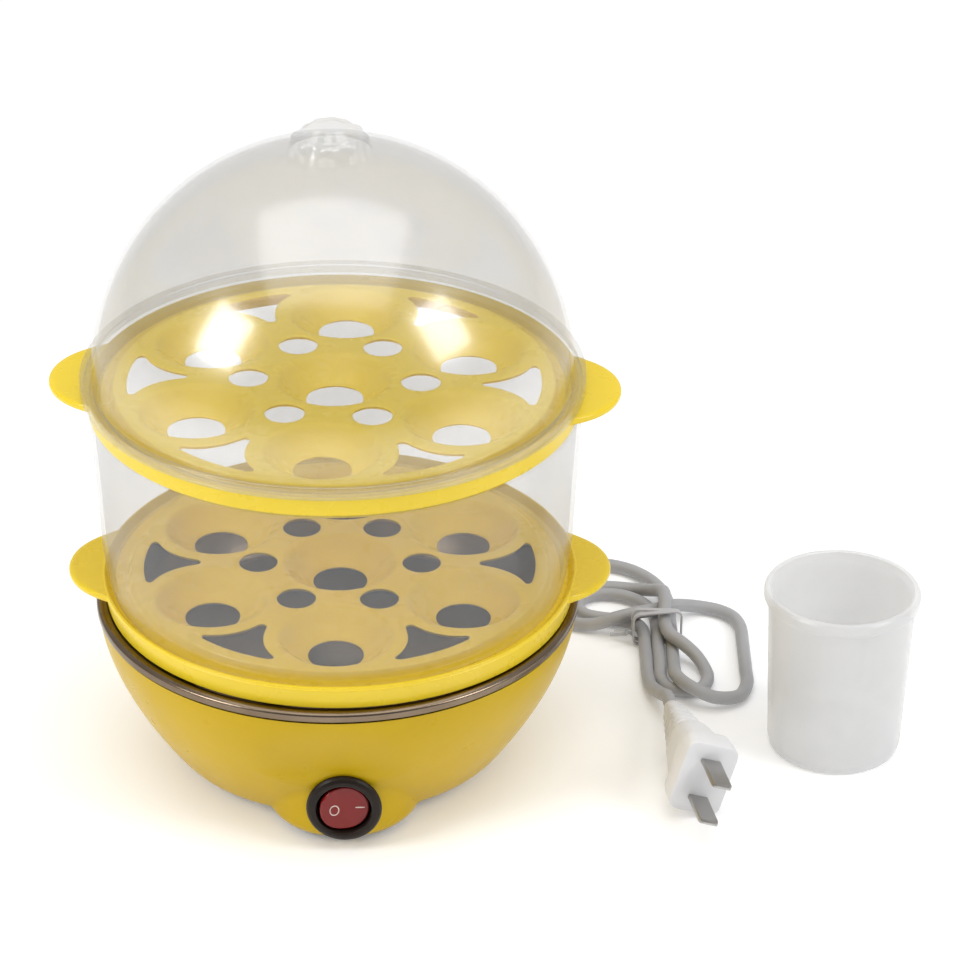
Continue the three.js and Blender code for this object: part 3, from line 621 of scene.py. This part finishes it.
def make_base():
    segments = 360
    phis = [2 * math.pi * k / segments for k in range(segments)]
    edge = 4.0
    heights = [BOWL_BOTTOM_Z + edge * (1 - math.cos(math.radians(a))) for a in (0, 18, 36, 54, 72, 90)]
    heights += list(np.linspace(BOWL_BOTTOM_Z + edge, BOWL_TOP_Z, 44))[1:]

    def rounding(z):
        up = z - BOWL_BOTTOM_Z
        return 0 if up >= edge else edge - math.sqrt(max(0, edge ** 2 - (edge - up) ** 2))

    outer = [[(phi, base_radius(phi, z) - rounding(z), z) for phi in phis] for z in heights]
    inner = [[(phi, base_radius(phi, z) - WALL - (0.3 if z < 4 else 0), z) for phi in phis]
             for z in [*reversed(heights[5::3])][:-1] + [BOWL_BOTTOM_Z]]
    loops = [[(r * math.cos(p), r * math.sin(p), z) for p, r, z in loop] for loop in outer + inner]
    shape = loft(loops + [loops[0]], closed_ends=False)
    # The shell is painted with the darker copy of the yellow, which holds painted shade
    housing = piece("base_shell", *shape, yellow, "base", "yellow_plastic", ["base_housing"], angle=50)
    carve(housing, [rod(9.9, (SWITCH_X, -80, SWITCH_Z), (SWITCH_X, SWITCH_Y + 12, SWITCH_Z)),
                    rod(4.4, (0, 50, EXIT_Z), (0, EXIT_Y, EXIT_Z))])
    housing.data.shade_smooth()
    housing.data.set_sharp_from_angle(angle=math.radians(50))

    # Bottom plate: follows the shell's inside, with a raised ring, a flat pad and dished screw holes
    plate = []
    for z, inset in ((5.3, WALL + 0.5), (3.6, WALL + 0.5), (3.3, WALL + 0.8)):
        plate.append([((base_radius(p, 3.2) - inset) * math.cos(p), (base_radius(p, 3.2) - inset) * math.sin(p), z)
                      for p in phis])
    for r, z in ((40, 3.3), (39.4, 2.7), (37.6, 2.7), (37, 3.3), (20.6, 3.3), (20, 2.9), (20, 1.0), (19.5, 0.5)):
        plate.append([(r * math.cos(p), r * math.sin(p), z) for p in phis])
    cover = piece("bottom_plate", *loft(plate), black, "base", "black_plastic", ["bottom_cover"], angle=35)
    spots = [(SCREW_RING * math.cos(math.radians(a)), SCREW_RING * math.sin(math.radians(a))) for a in SCREW_AZIMUTHS]
    carve(cover, [rod(1.8, (x, y, 0), (x, y, 6), 24) for x, y in spots])
    cover.data.shade_smooth()
    cover.data.set_sharp_from_angle(angle=math.radians(35))

    for i, azimuth in enumerate(FOOT_AZIMUTHS):
        a = math.radians(azimuth)
        outline = fillet([(0, 0), (5.4, 0), (6, 3), (0, 3)], [0, 0.8, 0.3, 0])
        outline = [(0, 0.25), (2.2, 0.25), (2.8, 0)] + outline[1:]
        shape = lathe(outline, 64, (FOOT_RING * math.cos(a), FOOT_RING * math.sin(a)))
        piece(f"rubber_foot_{i + 1}", *shape, rubber, "base", "rubber_feet", [f"foot_{i + 1}"])

    # Rear strain relief: a collar inside, then a ribbed taper round the lead
    near, wall = EXIT_INSIDE, EXIT_WALL
    outline = [(4.9, near), (5.2, near + 0.3), (5.2, wall - 0.3), (4.9, wall), (4.0, wall + 0.1)]
    ribs = 5
    for i in range(ribs):
        y = 62.0 + 2.4 * i
        r = 4.0 - 0.9 * (y - wall) / (EXIT_Y - wall)
        outline += [(r - 0.45, y - 0.1), (r, y + 0.15), (r - 0.03, y + 1.35), (r - 0.48, y + 1.6)]
    outline += [(3.0, EXIT_Y - 0.3), (2.7, EXIT_Y), (2.35, EXIT_Y), (2.35, EXIT_Y - 1), (2.35, near)]
    verts, faces = lathe(outline, 56)
    verts = [(x, z, EXIT_Z - y) for x, y, z in verts]
    piece("cord_relief", verts, faces, black, "base", "black_plastic", ["rear_grommet"], angle=35)


def make_pan():
    outline = [
        (0, 29), (56, 29), (63, 31.5), (66.2, 36.5), (70.2, 44), (71.8, 51.8), (74.6, 51.8), (75.9, 52.3),
        (75.9, 54.6), (74.6, 55.3), (72.6, 55.25), (70.9, 53.6), (69.1, 44.3), (65.3, 37.2), (62.5, 32.6),
        (55.6, 30.2), (0, 30.2),
    ]
    radii = [0, 4, 5, 6, 6, 0.6, 0.9, 1.1, 1.3, 1.5, 1.2, 2.5, 6, 5, 4, 3, 0]
    # The pan uses the darkened steel, whose colour holds painted shade
    piece("steel_pan", *lathe(fillet(outline, radii, 6), 256), steel, "base", "stainless_steel", ["heating_pan"])


def around_switch(profile, segments):
    """Turns a profile of (radius, distance in front of the switch face) about the switch's own axis."""
    verts, faces = lathe(profile, segments)
    return [(SWITCH_X + x, SWITCH_Y - z, SWITCH_Z + y) for x, y, z in verts], faces


def make_switch():
    outline = [(MOUTH_R, 0.3), (BEZEL_R, 0.3), (BEZEL_R, 1.05), (10.9, 1.9), (9.9, 2.35), (9.0, 2.4), (8.55, 2.2),
               (MOUTH_R, 1.8)]
    radii = [0.1, 0.2, 0.5, 0.8, 0.9, 0.3, 0.2, 0.2]
    piece("switch_ring", *around_switch(fillet(outline, radii), 128), black, "base", "black_plastic",
          ["switch_bezel"])

    swing_r = MOUTH_R - 0.3

    def squeeze(x, y):
        """Keeps the rocker inside the round path of its own hinge."""
        limit = math.sqrt(max(1.0, swing_r ** 2 - (y - HINGE_BACK) ** 2))
        return x * min(1, limit / ROCKER_R)

    def face_y(x):
        left = -0.9 + 2.0 * x / 7.3
        right = -0.9 + 0.3 * x / 8.2
        return -smooth_max(-left, -right, 0.35)

    rings = []
    sides = 96
    for r in (0.6, 1.6, 2.6, 3.6, 4.6, 5.5, 6.3, 6.85, 7.15):
        loop = []
        for k in range(sides):
            a = 2 * math.pi * k / sides
            x, z = r * math.cos(a), r * math.sin(a)
            y = face_y(x)
            loop.append((squeeze(x, y), y, z))
        rings.append(loop)
    for r, back in ((7.36, 0.08), (7.52, 0.3), (ROCKER_R, 0.6)):
        loop = []
        for k in range(sides):
            a = 2 * math.pi * k / sides
            x, z = r * math.cos(a), r * math.sin(a)
            y = face_y(x) + back
            loop.append((squeeze(x, y), y, z))
        rings.append(loop)
    for y in (1.2, 3.0):
        rings.append([(squeeze(ROCKER_R * math.cos(2 * math.pi * k / sides), y) * (0.86 if y > 2 else 1), y,
                       ROCKER_R * math.sin(2 * math.pi * k / sides) * (0.96 if y > 2 else 1)) for k in range(sides)])
    verts, faces = loft(rings)
    verts = [(SWITCH_X + x, SWITCH_Y + y, SWITCH_Z + z) for x, y, z in verts]
    piece("rocker_cap", verts, faces, rocker_red, "rocker", "red_plastic", ["rocker"], angle=45)

    # Off ring and on bar, printed a hair proud of the faces
    loops = []
    for k in range(48):
        a = 2 * math.pi * k / 48
        loop = []
        for m in range(8):
            b = 2 * math.pi * m / 8
            rr = 1.45 + 0.17 * math.cos(b)
            x, z = -2.9 + 0.92 * rr * math.cos(a), -0.4 + 1.15 * rr * math.sin(a)
            loop.append((SWITCH_X + x, SWITCH_Y + face_y(x) - 0.06 * math.sin(b), SWITCH_Z + z))
        loops.append(loop)
    piece("off_mark", *loft(loops + [loops[0]], closed_ends=False), mark_white, "rocker", "red_plastic")
    loops = []
    for k in range(9):
        x = 3.4 + 2.9 * k / 8
        half = 0.2 * math.sqrt(max(0.05, 1 - ((k - 4) / 4.3) ** 4))
        loops.append([(SWITCH_X + x, SWITCH_Y + face_y(x) - 0.06 * math.sin(b), SWITCH_Z + 0.25 + half * math.cos(b))
                      for b in (2 * math.pi * m / 8 for m in range(8))])
    piece("on_mark", *loft(loops), mark_white, "rocker", "red_plastic")


make_base()
make_pan()
make_switch()


# ---------------------------------------------------------------- trays
def corner_outline(scale, azimuth):
    outer, inner, half = 62.4 * scale, 45.2 * scale, 12.4 * scale
    spans = [
        ((inner, -1.4), (outer - 7, -4.2), (outer - 3.6, -half)),
        ((outer - 3.6, -half), (outer - 2.6, -half - 1.4), (outer - 1.4, -half + 0.6)),
        ((outer - 1.4, -half + 0.6), (outer + 1.2, 0), (outer - 1.4, half - 0.6)),
        ((outer - 1.4, half - 0.6), (outer - 2.6, half + 1.4), (outer - 3.6, half)),
        ((outer - 3.6, half), (outer - 7, 4.2), (inner, 1.4)),
        ((inner, 1.4), (inner - 1.6, 0), (inner, -1.4)),
    ]
    loop = []
    for (a, b, c), count in zip(spans, (12, 6, 14, 6, 12, 5)):
        for k in range(count):
            t = k / count
            loop.append(tuple((1 - t) ** 2 * np.array(a) + 2 * t * (1 - t) * np.array(b) + t * t * np.array(c)))
    loop = [p for i, p in enumerate(loop) if i == 0 or math.dist(p, loop[i - 1]) > 0.15]
    loop = fillet(loop, 0.5, 1)
    ca, sa = math.cos(azimuth), math.sin(azimuth)
    return [(x * ca - y * sa, x * sa + y * ca) for x, y in loop]


def circle(r, x, y, count):
    return [(x + r * math.cos(2 * math.pi * k / count), y + r * math.sin(2 * math.pi * k / count))
            for k in range(count)]


def inside_polygon(points, polygon):
    x, y = points[:, 0], points[:, 1]
    inside = np.zeros(len(points), bool)
    for (x1, y1), (x2, y2) in zip(polygon, polygon[1:] + polygon[:1]):
        crossing = (y1 > y) != (y2 > y)
        with np.errstate(divide="ignore", invalid="ignore"):
            inside ^= crossing & (x < (x2 - x1) * (y - y1) / (y2 - y1) + x1)
    return inside


def edge_distance(points, polygon):
    a = np.array(polygon)
    b = np.roll(a, -1, axis=0)
    best = np.full(len(points), 1e9)
    for p, q in zip(a, b):
        d = q - p
        t = np.clip(((points - p) @ d) / max(d @ d, 1e-12), 0, 1)
        best = np.minimum(best, np.linalg.norm(points - p - t[:, None] * d, axis=1))
    return best


def deck_surface(spec, rim_count):
    """The deck's upper face with its seven cups and thirteen openings, as points, triangles and the rim's points."""
    s = spec["scale"]
    deck_r = DECK_R * s - 1.4
    cups = [(0, 0)] + [(CUP_RING * s * math.cos(math.radians(a)), CUP_RING * s * math.sin(math.radians(a)))
                       for a in range(30, 360, 60)]
    holes = [circle(CUP_HOLE_R * s, x, y, 48) for x, y in cups]
    for a in range(0, 360, 60):
        c, q = math.cos(math.radians(a)), math.sin(math.radians(a))
        holes.append(circle(SMALL_R, SMALL_RING * s * c, SMALL_RING * s * q, 40))
    corner = [corner_outline(s, math.radians(a)) for a in range(0, 360, 60)]
    rim = circle(deck_r, 0, 0, rim_count)
    points, edges = [], []
    for loop in [rim, *holes, *corner]:
        base = len(points)
        points += loop
        edges += [(base + i, base + (i + 1) % len(loop)) for i in range(len(loop))]
    fixed = np.array(points)
    extra = []
    for loop, (x, y) in zip(holes[:7], cups):
        for r, count in ((CUP_HOLE_R * s + 0.45, 48), (CUP_HOLE_R * s + 1.0, 48), (CUP_HOLE_R * s + 2.0, 48),
                         (CUP_HOLE_R * s + 3.6, 52), (CUP_R - 3.2, 56), (CUP_R - 1.8, 64), (CUP_R - 0.9, 72),
                         (CUP_R - 0.2, 72), (CUP_R + 0.5, 72), (CUP_R + 1.3, 72)):
            extra += circle(r, x, y, count)
    for a in range(0, 360, 60):
        c, q = math.cos(math.radians(a)), math.sin(math.radians(a))
        for grow in (0.45, 1.0, 1.9):
            extra += circle(SMALL_R + grow, SMALL_RING * s * c, SMALL_RING * s * q, 40)
    for loop in corner:
        for grow in (0.45, 1.0):
            ring = np.array(loop)
            step = np.roll(ring, -1, axis=0) - np.roll(ring, 1, axis=0)
            normal = np.stack([step[:, 1], -step[:, 0]], axis=1)
            normal /= np.linalg.norm(normal, axis=1)[:, None]
            extra += [tuple(p) for p in ring + normal * grow]
    spacing = 1.7
    rows = int(deck_r / (spacing * 0.866)) + 1
    for j in range(-rows, rows + 1):
        for i in range(-rows - 4, rows + 5):
            extra.append(((i + 0.5 * (j % 2)) * spacing, j * spacing * 0.866))
    extra = np.array(extra)
    radius = np.linalg.norm(extra, axis=1)
    keep = radius < deck_r - 0.5
    for loop in holes + corner:
        keep &= ~inside_polygon(extra, loop)
        keep &= edge_distance(extra, loop) > 0.3
    extra = extra[keep]
    # Thin out points that crowd each other, earliest first
    cell = 0.42
    taken, chosen = set(), []
    for p in extra:
        key = (round(p[0] / cell), round(p[1] / cell))
        if key in taken:
            continue
        taken.add(key)
        chosen.append(tuple(p))
    every = [Vector(p) for p in [*map(tuple, fixed), *chosen]]
    result = delaunay_2d_cdt(every, edges, [], 0, 1e-4)
    flat_points = np.array([tuple(v) for v in result[0]])
    triangles = np.array([f for f in result[2] if len(f) == 3])
    middle = flat_points[triangles].mean(axis=1)
    good = np.linalg.norm(middle, axis=1) < deck_r
    for loop in holes + corner:
        good &= ~inside_polygon(middle, loop)
    triangles = triangles[good]

    ball_centre = math.sqrt(CUP_SPHERE ** 2 - CUP_R ** 2)
    height = np.full(len(flat_points), 0.3)
    for x, y in cups:
        d = np.hypot(flat_points[:, 0] - x, flat_points[:, 1] - y)
        bowl = ball_centre - np.sqrt(np.maximum(CUP_SPHERE ** 2 - d ** 2, 1.0)) + 0.3
        k = 1.5
        blend = np.maximum(k - np.abs(height - bowl), 0) / k
        height = np.where(d < CUP_R + 4, np.minimum(height, bowl) - blend ** 2 * k / 4, height)
    for loop in holes + corner:
        near = np.hypot(*(flat_points - np.mean(loop, axis=0)).T) < 30
        d = np.full(len(flat_points), 9.0)
        d[near] = edge_distance(flat_points[near], loop)
        t = np.clip(1 - d / 0.9, 0, 1)
        height -= 0.38 * t * t
    points3 = np.column_stack([flat_points, height])
    rim_ids = []
    for x, y in rim:
        rim_ids.append(int(np.argmin(np.hypot(flat_points[:, 0] - x, flat_points[:, 1] - y))))
    return points3, triangles, rim_ids, deck_r


def make_tray(spec, body):
    s, wall = spec["scale"], spec["wall"]
    count = 200
    points, triangles, rim_ids, deck_r = deck_surface(spec, count)
    deck = DECK_R * s
    floor = -TRAY_CHANNEL
    profile = fillet([
        (deck_r, 0.3), (deck - 0.1, 0.3), (deck + 0.9, floor), (wall - 2.7, floor), (wall - 1.25, -0.35),
        (wall - 0.75, 0.0),
    ], [0, 0.9, 0.8, 0.8, 0.4, 0], 5, closed=False)
    verts = [tuple(p) for p in points]
    faces = [tuple(int(i) for i in t) for t in triangles]
    previous = rim_ids
    for r, z in profile[1:]:
        base = len(verts)
        verts += [(x, y, z) for x, y in circle(r, 0, 0, count)]
        ring = list(range(base, base + count))
        faces += [(previous[k], previous[(k + 1) % count], ring[(k + 1) % count], ring[k]) for k in range(count)]
        previous = ring
    turn = (Matrix.Translation(Vector((spec["x"], 0, spec["top"])) * MM)
            @ Matrix.Rotation(math.radians(spec["turn"]), 4, "Z"))
    # The plate is painted with the brighter copy of the yellow, which holds painted light
    tray = piece(f"{spec['name']}_plate", verts, faces, plate_yellow_painted_light, body, "yellow_plastic", [spec["name"]],
                 angle=180)
    # The sheet's faces look up, so the thickness grows downwards
    if sum(p.normal.z for p in tray.data.polygons[:200]) < 0:
        tray.data.flip_normals()
    solid = tray.modifiers.new("thickness", "SOLIDIFY")
    solid.thickness = 1.3 * MM
    solid.offset = -1
    solid.use_even_offset = False
    apply_modifiers(tray)

    parts = []
    tip = EAR_TIP * s
    hug = wall - 1.1
    for side in (1, -1):
        centre = tip - EAR_R
        outline = []
        meet = math.acos((centre ** 2 + EAR_R ** 2 - hug ** 2) / (2 * centre * EAR_R))
        for k in range(61):
            a = (math.pi - meet) * (2 * k / 60 - 1)
            outline.append((centre + EAR_R * math.cos(a), EAR_R * math.sin(a)))
        far = math.atan2(outline[-1][1], outline[-1][0])
        for k in range(1, 30):
            a = far * (1 - 2 * k / 30)
            outline.append((hug * math.cos(a), hug * math.sin(a)))
        ring = np.array(outline)
        step = np.roll(ring, -1, axis=0) - np.roll(ring, 1, axis=0)
        normal = np.stack([step[:, 1], -step[:, 0]], axis=1)
        normal /= np.linalg.norm(normal, axis=1)[:, None]
        normal[61:] = 0
        # No rounding at the two points where the ear meets the wall
        normal[:61] *= np.array([min(1, k / 8, (60 - k) / 8) for k in range(61)])[:, None]
        top, bottom = -EAR_DROP, -EAR_DROP - EAR_THICK
        loops = []
        for inset, z in ((3.4, bottom + 0.02), (0.7, bottom), (0.2, bottom + 0.2), (0, bottom + 0.7),
                         (0, top - 0.8), (0.22, top - 0.3), (0.8, top), (2.0, top - 0.06), (3.2, top - 0.1)):
            flat_ring = ring - normal * inset
            loops.append([(side * x, side * y, z) for x, y in flat_ring])
        parts.append(loft(loops))
    grip = piece(f"{spec['name']}_ears", *stack(*parts), tray_yellow, body, "yellow_plastic", (), turn, angle=45)
    under = floor - TRAY_THICK
    rib = lathe(fillet([(deck + 1.5, under + 0.3), (deck + 2.5, under + 0.3), (deck + 2.4, under - 2),
                        (deck + 1.6, under - 2)], 0.3), 200)
    bottom = wall - (2.8 if spec["stepped"] else 1.2)
    if spec["stepped"]:
        outside = [(bottom, -TRAY_DEPTH), (bottom + 0.2, -TRAY_STEP), (wall - 0.2, -TRAY_STEP),
                   (wall, -0.9), (wall, -0.1)]
    else:
        outside = [(bottom, -TRAY_DEPTH), (wall - 0.1, -0.9), (wall - 0.1, -0.1)]
    inside = [(wall - 0.9, 0.0), (wall - 1.4, -0.9), (bottom - 0.9, floor - 0.5), (bottom - 1.3, -TRAY_DEPTH)]
    skirt = lathe(fillet(outside + inside, 0.4), 256)
    piece(f"{spec['name']}_rib", *stack(rib, skirt), tray_yellow, body, "yellow_plastic", (), turn)
    tray.data.transform(turn)
    tray.data.shade_smooth()
    tray.data.set_sharp_from_angle(angle=math.radians(55))
    return tray, grip


make_tray(LOWER, "lower_tray")
make_tray(UPPER, "upper_tray")


# ---------------------------------------------------------------- frosted ring, lid and measuring cup
def make_ring():
    outside = [(70.9, RING_BOTTOM), (72.2, 67), (73.2, 76), (73.8, 88), (74.3, 99), (74.9, 110), (75.5, RING_TOP)]
    inside = [(r - 1.4, z) for r, z in outside][::-1]
    closed = outside + inside
    radii = [0.5] + [9] * (len(outside) - 2) + [0.5, 0.5] + [9] * (len(inside) - 2) + [0.5]
    shape = lathe(fillet(closed, radii, 5), 256, (RING_X, 0))
    piece("steam_ring", *shape, ring_frost, "middle_ring", "frosted_plastic", ["middle_ring"])


def make_lid():
    inner = LID_R - LID_THICK
    start = math.asin((LID_FLANGE_TOP - LID_CENTRE) / LID_R)
    knob_r = 12.2
    meet = math.acos(knob_r / LID_R)
    outline = []
    for k in range(33):
        a = start + (meet - start) * k / 32
        outline.append((LID_R * math.cos(a), LID_CENTRE + LID_R * math.sin(a)))
    knob = fillet([outline[-1], (11.7, KNOB_BOTTOM + 3.2), (10.9, KNOB_BOTTOM + 6.0), (8.6, KNOB_TOP - 3.0),
                   (5.9, KNOB_TOP - 0.5), (3.4, KNOB_TOP - 0.9), (0, KNOB_TOP - 1.1)],
                  [0.8, 1.2, 1.6, 2.0, 1.0, 1.0, 0], 5, closed=False)
    outline += knob[1:]
    outline.append((0, LID_CENTRE + inner))
    for k in range(32, -1, -1):
        a = (math.pi / 2) * k / 32
        if a < math.pi / 2 - 1e-6:
            outline.append((inner * math.cos(a), LID_CENTRE + inner * math.sin(a)))
    seat = UPPER["top"] + 0.3
    lip = LID_FLANGE_R - 1.3
    foot = fillet([
        outline[-1], (inner - 1.0, seat), (inner - 1.5, seat - 2), (inner - 0.6, seat - 2), (inner - 0.2, seat),
        (LID_R - 0.4, seat), (LID_R - 0.2, LID_FLANGE_TOP - 1.4), (lip, LID_FLANGE_TOP - 1.4), (lip, seat),
        (LID_FLANGE_R, seat), (LID_FLANGE_R, LID_FLANGE_TOP), outline[0],
    ], [0, 0.3, 0.3, 0.3, 0.3, 0.3, 0.3, 0.3, 0.3, 0.3, 0.6, 0], 3, closed=False)
    outline += foot[1:-1]

    def scallops(r, z, phi):
        if z < KNOB_BOTTOM + 1 or r < 2.5:
            return r
        lift = min(1, (z - KNOB_BOTTOM - 1) / 3) * min(1, (r - 2.5) / 3)
        return r * (1 + 0.055 * lift * math.cos(8 * phi + 0.4))

    shape = lathe(outline, 256, (LID_X, 0), scallops)
    piece("dome_lid", *shape, lid_frost, "lid", "frosted_plastic", ["lid"], angle=35)


def make_measuring_cup():
    def slope(z):
        return 21.2 + (23.1 - 21.2) * (z - 3) / (CUP_RIM_Z - 3)

    outline = [
        (0, 5), (17.2, 5), (17.6, 0), (18.9, 0), (20.6, 0.5), (slope(3), 3.2), (slope(26), 26), (23.1, CUP_RIM_Z),
        (24.2, CUP_RIM_Z + 0.4), (24.6, CUP_RIM_Z + 1.4), (24.6, CUP_TOP_Z - 1), (23.9, CUP_TOP_Z),
        (22.5, CUP_TOP_Z), (21.9, CUP_RIM_Z + 2),
        (slope(26) - 1.2, 26), (slope(8) - 1.2, 9), (slope(8) - 2.8, 6.5), (0, 6.5),
    ]
    radii = [0, 0.6, 0.4, 0.6, 1.6, 2.5, 0, 0.5, 0.4, 0.8, 0.8, 0.6, 0.6, 1.5, 0, 2, 1.5, 0]
    shape = lathe(fillet(outline, radii, 5), 192, (CUP_X, CUP_Y))
    piece("measuring_beaker", *shape, cup_frost, "measuring_cup", "frosted_plastic", ["measuring_cup"], angle=35)


make_ring()
make_lid()
make_measuring_cup()

# ---------------------------------------------------------------- CAD nodes that stay as they are
kept = {
    zinc: ["cover_screw_1", "cover_screw_2", "cover_screw_3", "cover_screw_4", "pan_stud", "element_bracket",
           "bracket_nut", "cord_clamp_screw", "piercing_pin", "switch_terminal_left", "switch_terminal_right"],
    aluminium: ["heating_element", "thermostat"],
    ceramic: ["thermal_fuse"],
    black: ["switch_body", "cord_clamp"],
    cord_grey: ["wire_cord_to_switch", "wire_switch_to_element", "wire_fuse_to_cord"],
}
for material, names in kept.items():
    for name in names:
        paint(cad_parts[name], material)


# ---------------------------------------------------------------- floor and light
def make_floor():
    nodes = Nodes("studio_floor")
    where = nodes.place()
    tone = nodes.mix(nodes.remap(nodes.noise(where, 3, 3), 0, 1), (0.93, 0.93, 0.93), (0.95, 0.95, 0.95))
    nodes.link(tone, nodes.shader.inputs["Base Color"])
    nodes.set(Roughness=0.9, Specular_IOR_Level=0.0, Emission_Color=(1, 1, 1, 1), Emission_Strength=0.15)
    size, cells = 5000, 10
    step = 2 * size / cells
    verts = [(-size + i * step, -size + j * step, -0.02) for j in range(cells + 1) for i in range(cells + 1)]
    faces = [(j * (cells + 1) + i, j * (cells + 1) + i + 1, (j + 1) * (cells + 1) + i + 1, (j + 1) * (cells + 1) + i)
             for j in range(cells) for i in range(cells)]
    mesh = bpy.data.meshes.new("floor")
    mesh.from_pydata([tuple(np.array(v) * MM) for v in verts], [], faces)
    floor = bpy.data.objects.new("floor", mesh)
    scene.collection.objects.link(floor)
    paint(floor, nodes.material)


def softbox(name, azimuth, elevation, distance_m, size_m, power, aim=(0, 0, 0.11)):
    """A square light, azimuth measured from straight in front of the object towards its right."""
    a, e = math.radians(azimuth), math.radians(elevation)
    out = Vector((math.sin(a) * math.cos(e), -math.cos(a) * math.cos(e), math.sin(e)))
    data = bpy.data.lights.new(name, "AREA")
    data.shape = "RECTANGLE"
    data.size, data.size_y = size_m
    data.energy = power
    light = bpy.data.objects.new(name, data)
    light.location = Vector(aim) + out * distance_m
    light.rotation_mode = "QUATERNION"
    light.rotation_quaternion = (-out).to_track_quat("-Z", "Y")
    scene.collection.objects.link(light)
    return light


def make_world():
    """A studio that is dark in front of the object and brighter above and behind it."""
    world = bpy.data.worlds.new("studio")
    world.use_nodes = True
    tree = world.node_tree
    tree.nodes.clear()
    output = tree.nodes.new("ShaderNodeOutputWorld")
    background = tree.nodes.new("ShaderNodeBackground")
    coordinates = tree.nodes.new("ShaderNodeTexCoord")
    lean = tree.nodes.new("ShaderNodeVectorMath")
    lean.operation = "DOT_PRODUCT"
    lean.inputs[1].default_value = (0, 0.45, 0.55)
    shade = tree.nodes.new("ShaderNodeMapRange")
    shade.inputs["From Min"].default_value = -0.45
    shade.inputs["From Max"].default_value = 0.55
    shade.inputs["To Min"].default_value = WORLD_FRONT
    shade.inputs["To Max"].default_value = WORLD_TOP
    tree.links.new(coordinates.outputs["Generated"], lean.inputs[0])
    tree.links.new(lean.outputs["Value"], shade.inputs["Value"])
    tree.links.new(shade.outputs[0], background.inputs[1])
    background.inputs[0].default_value = (1, 1, 1, 1)
    tree.links.new(background.outputs[0], output.inputs[0])
    scene.world = world


make_floor()
make_world()
softbox("left_box", -58.9, 30.7, 1.0, (0.36, 0.40), 4.2)
softbox("right_box", 65.9, 32.6, 1.0, (0.36, 0.40), 3.2)
softbox("top_box", 0, 86, 1.5, (1.6, 1.6), 13)
scene.view_settings.view_transform = "Standard"
scene.view_settings.look = "None"
scene.cycles.transparent_max_bounces = 32
scene.cycles.use_denoising = True
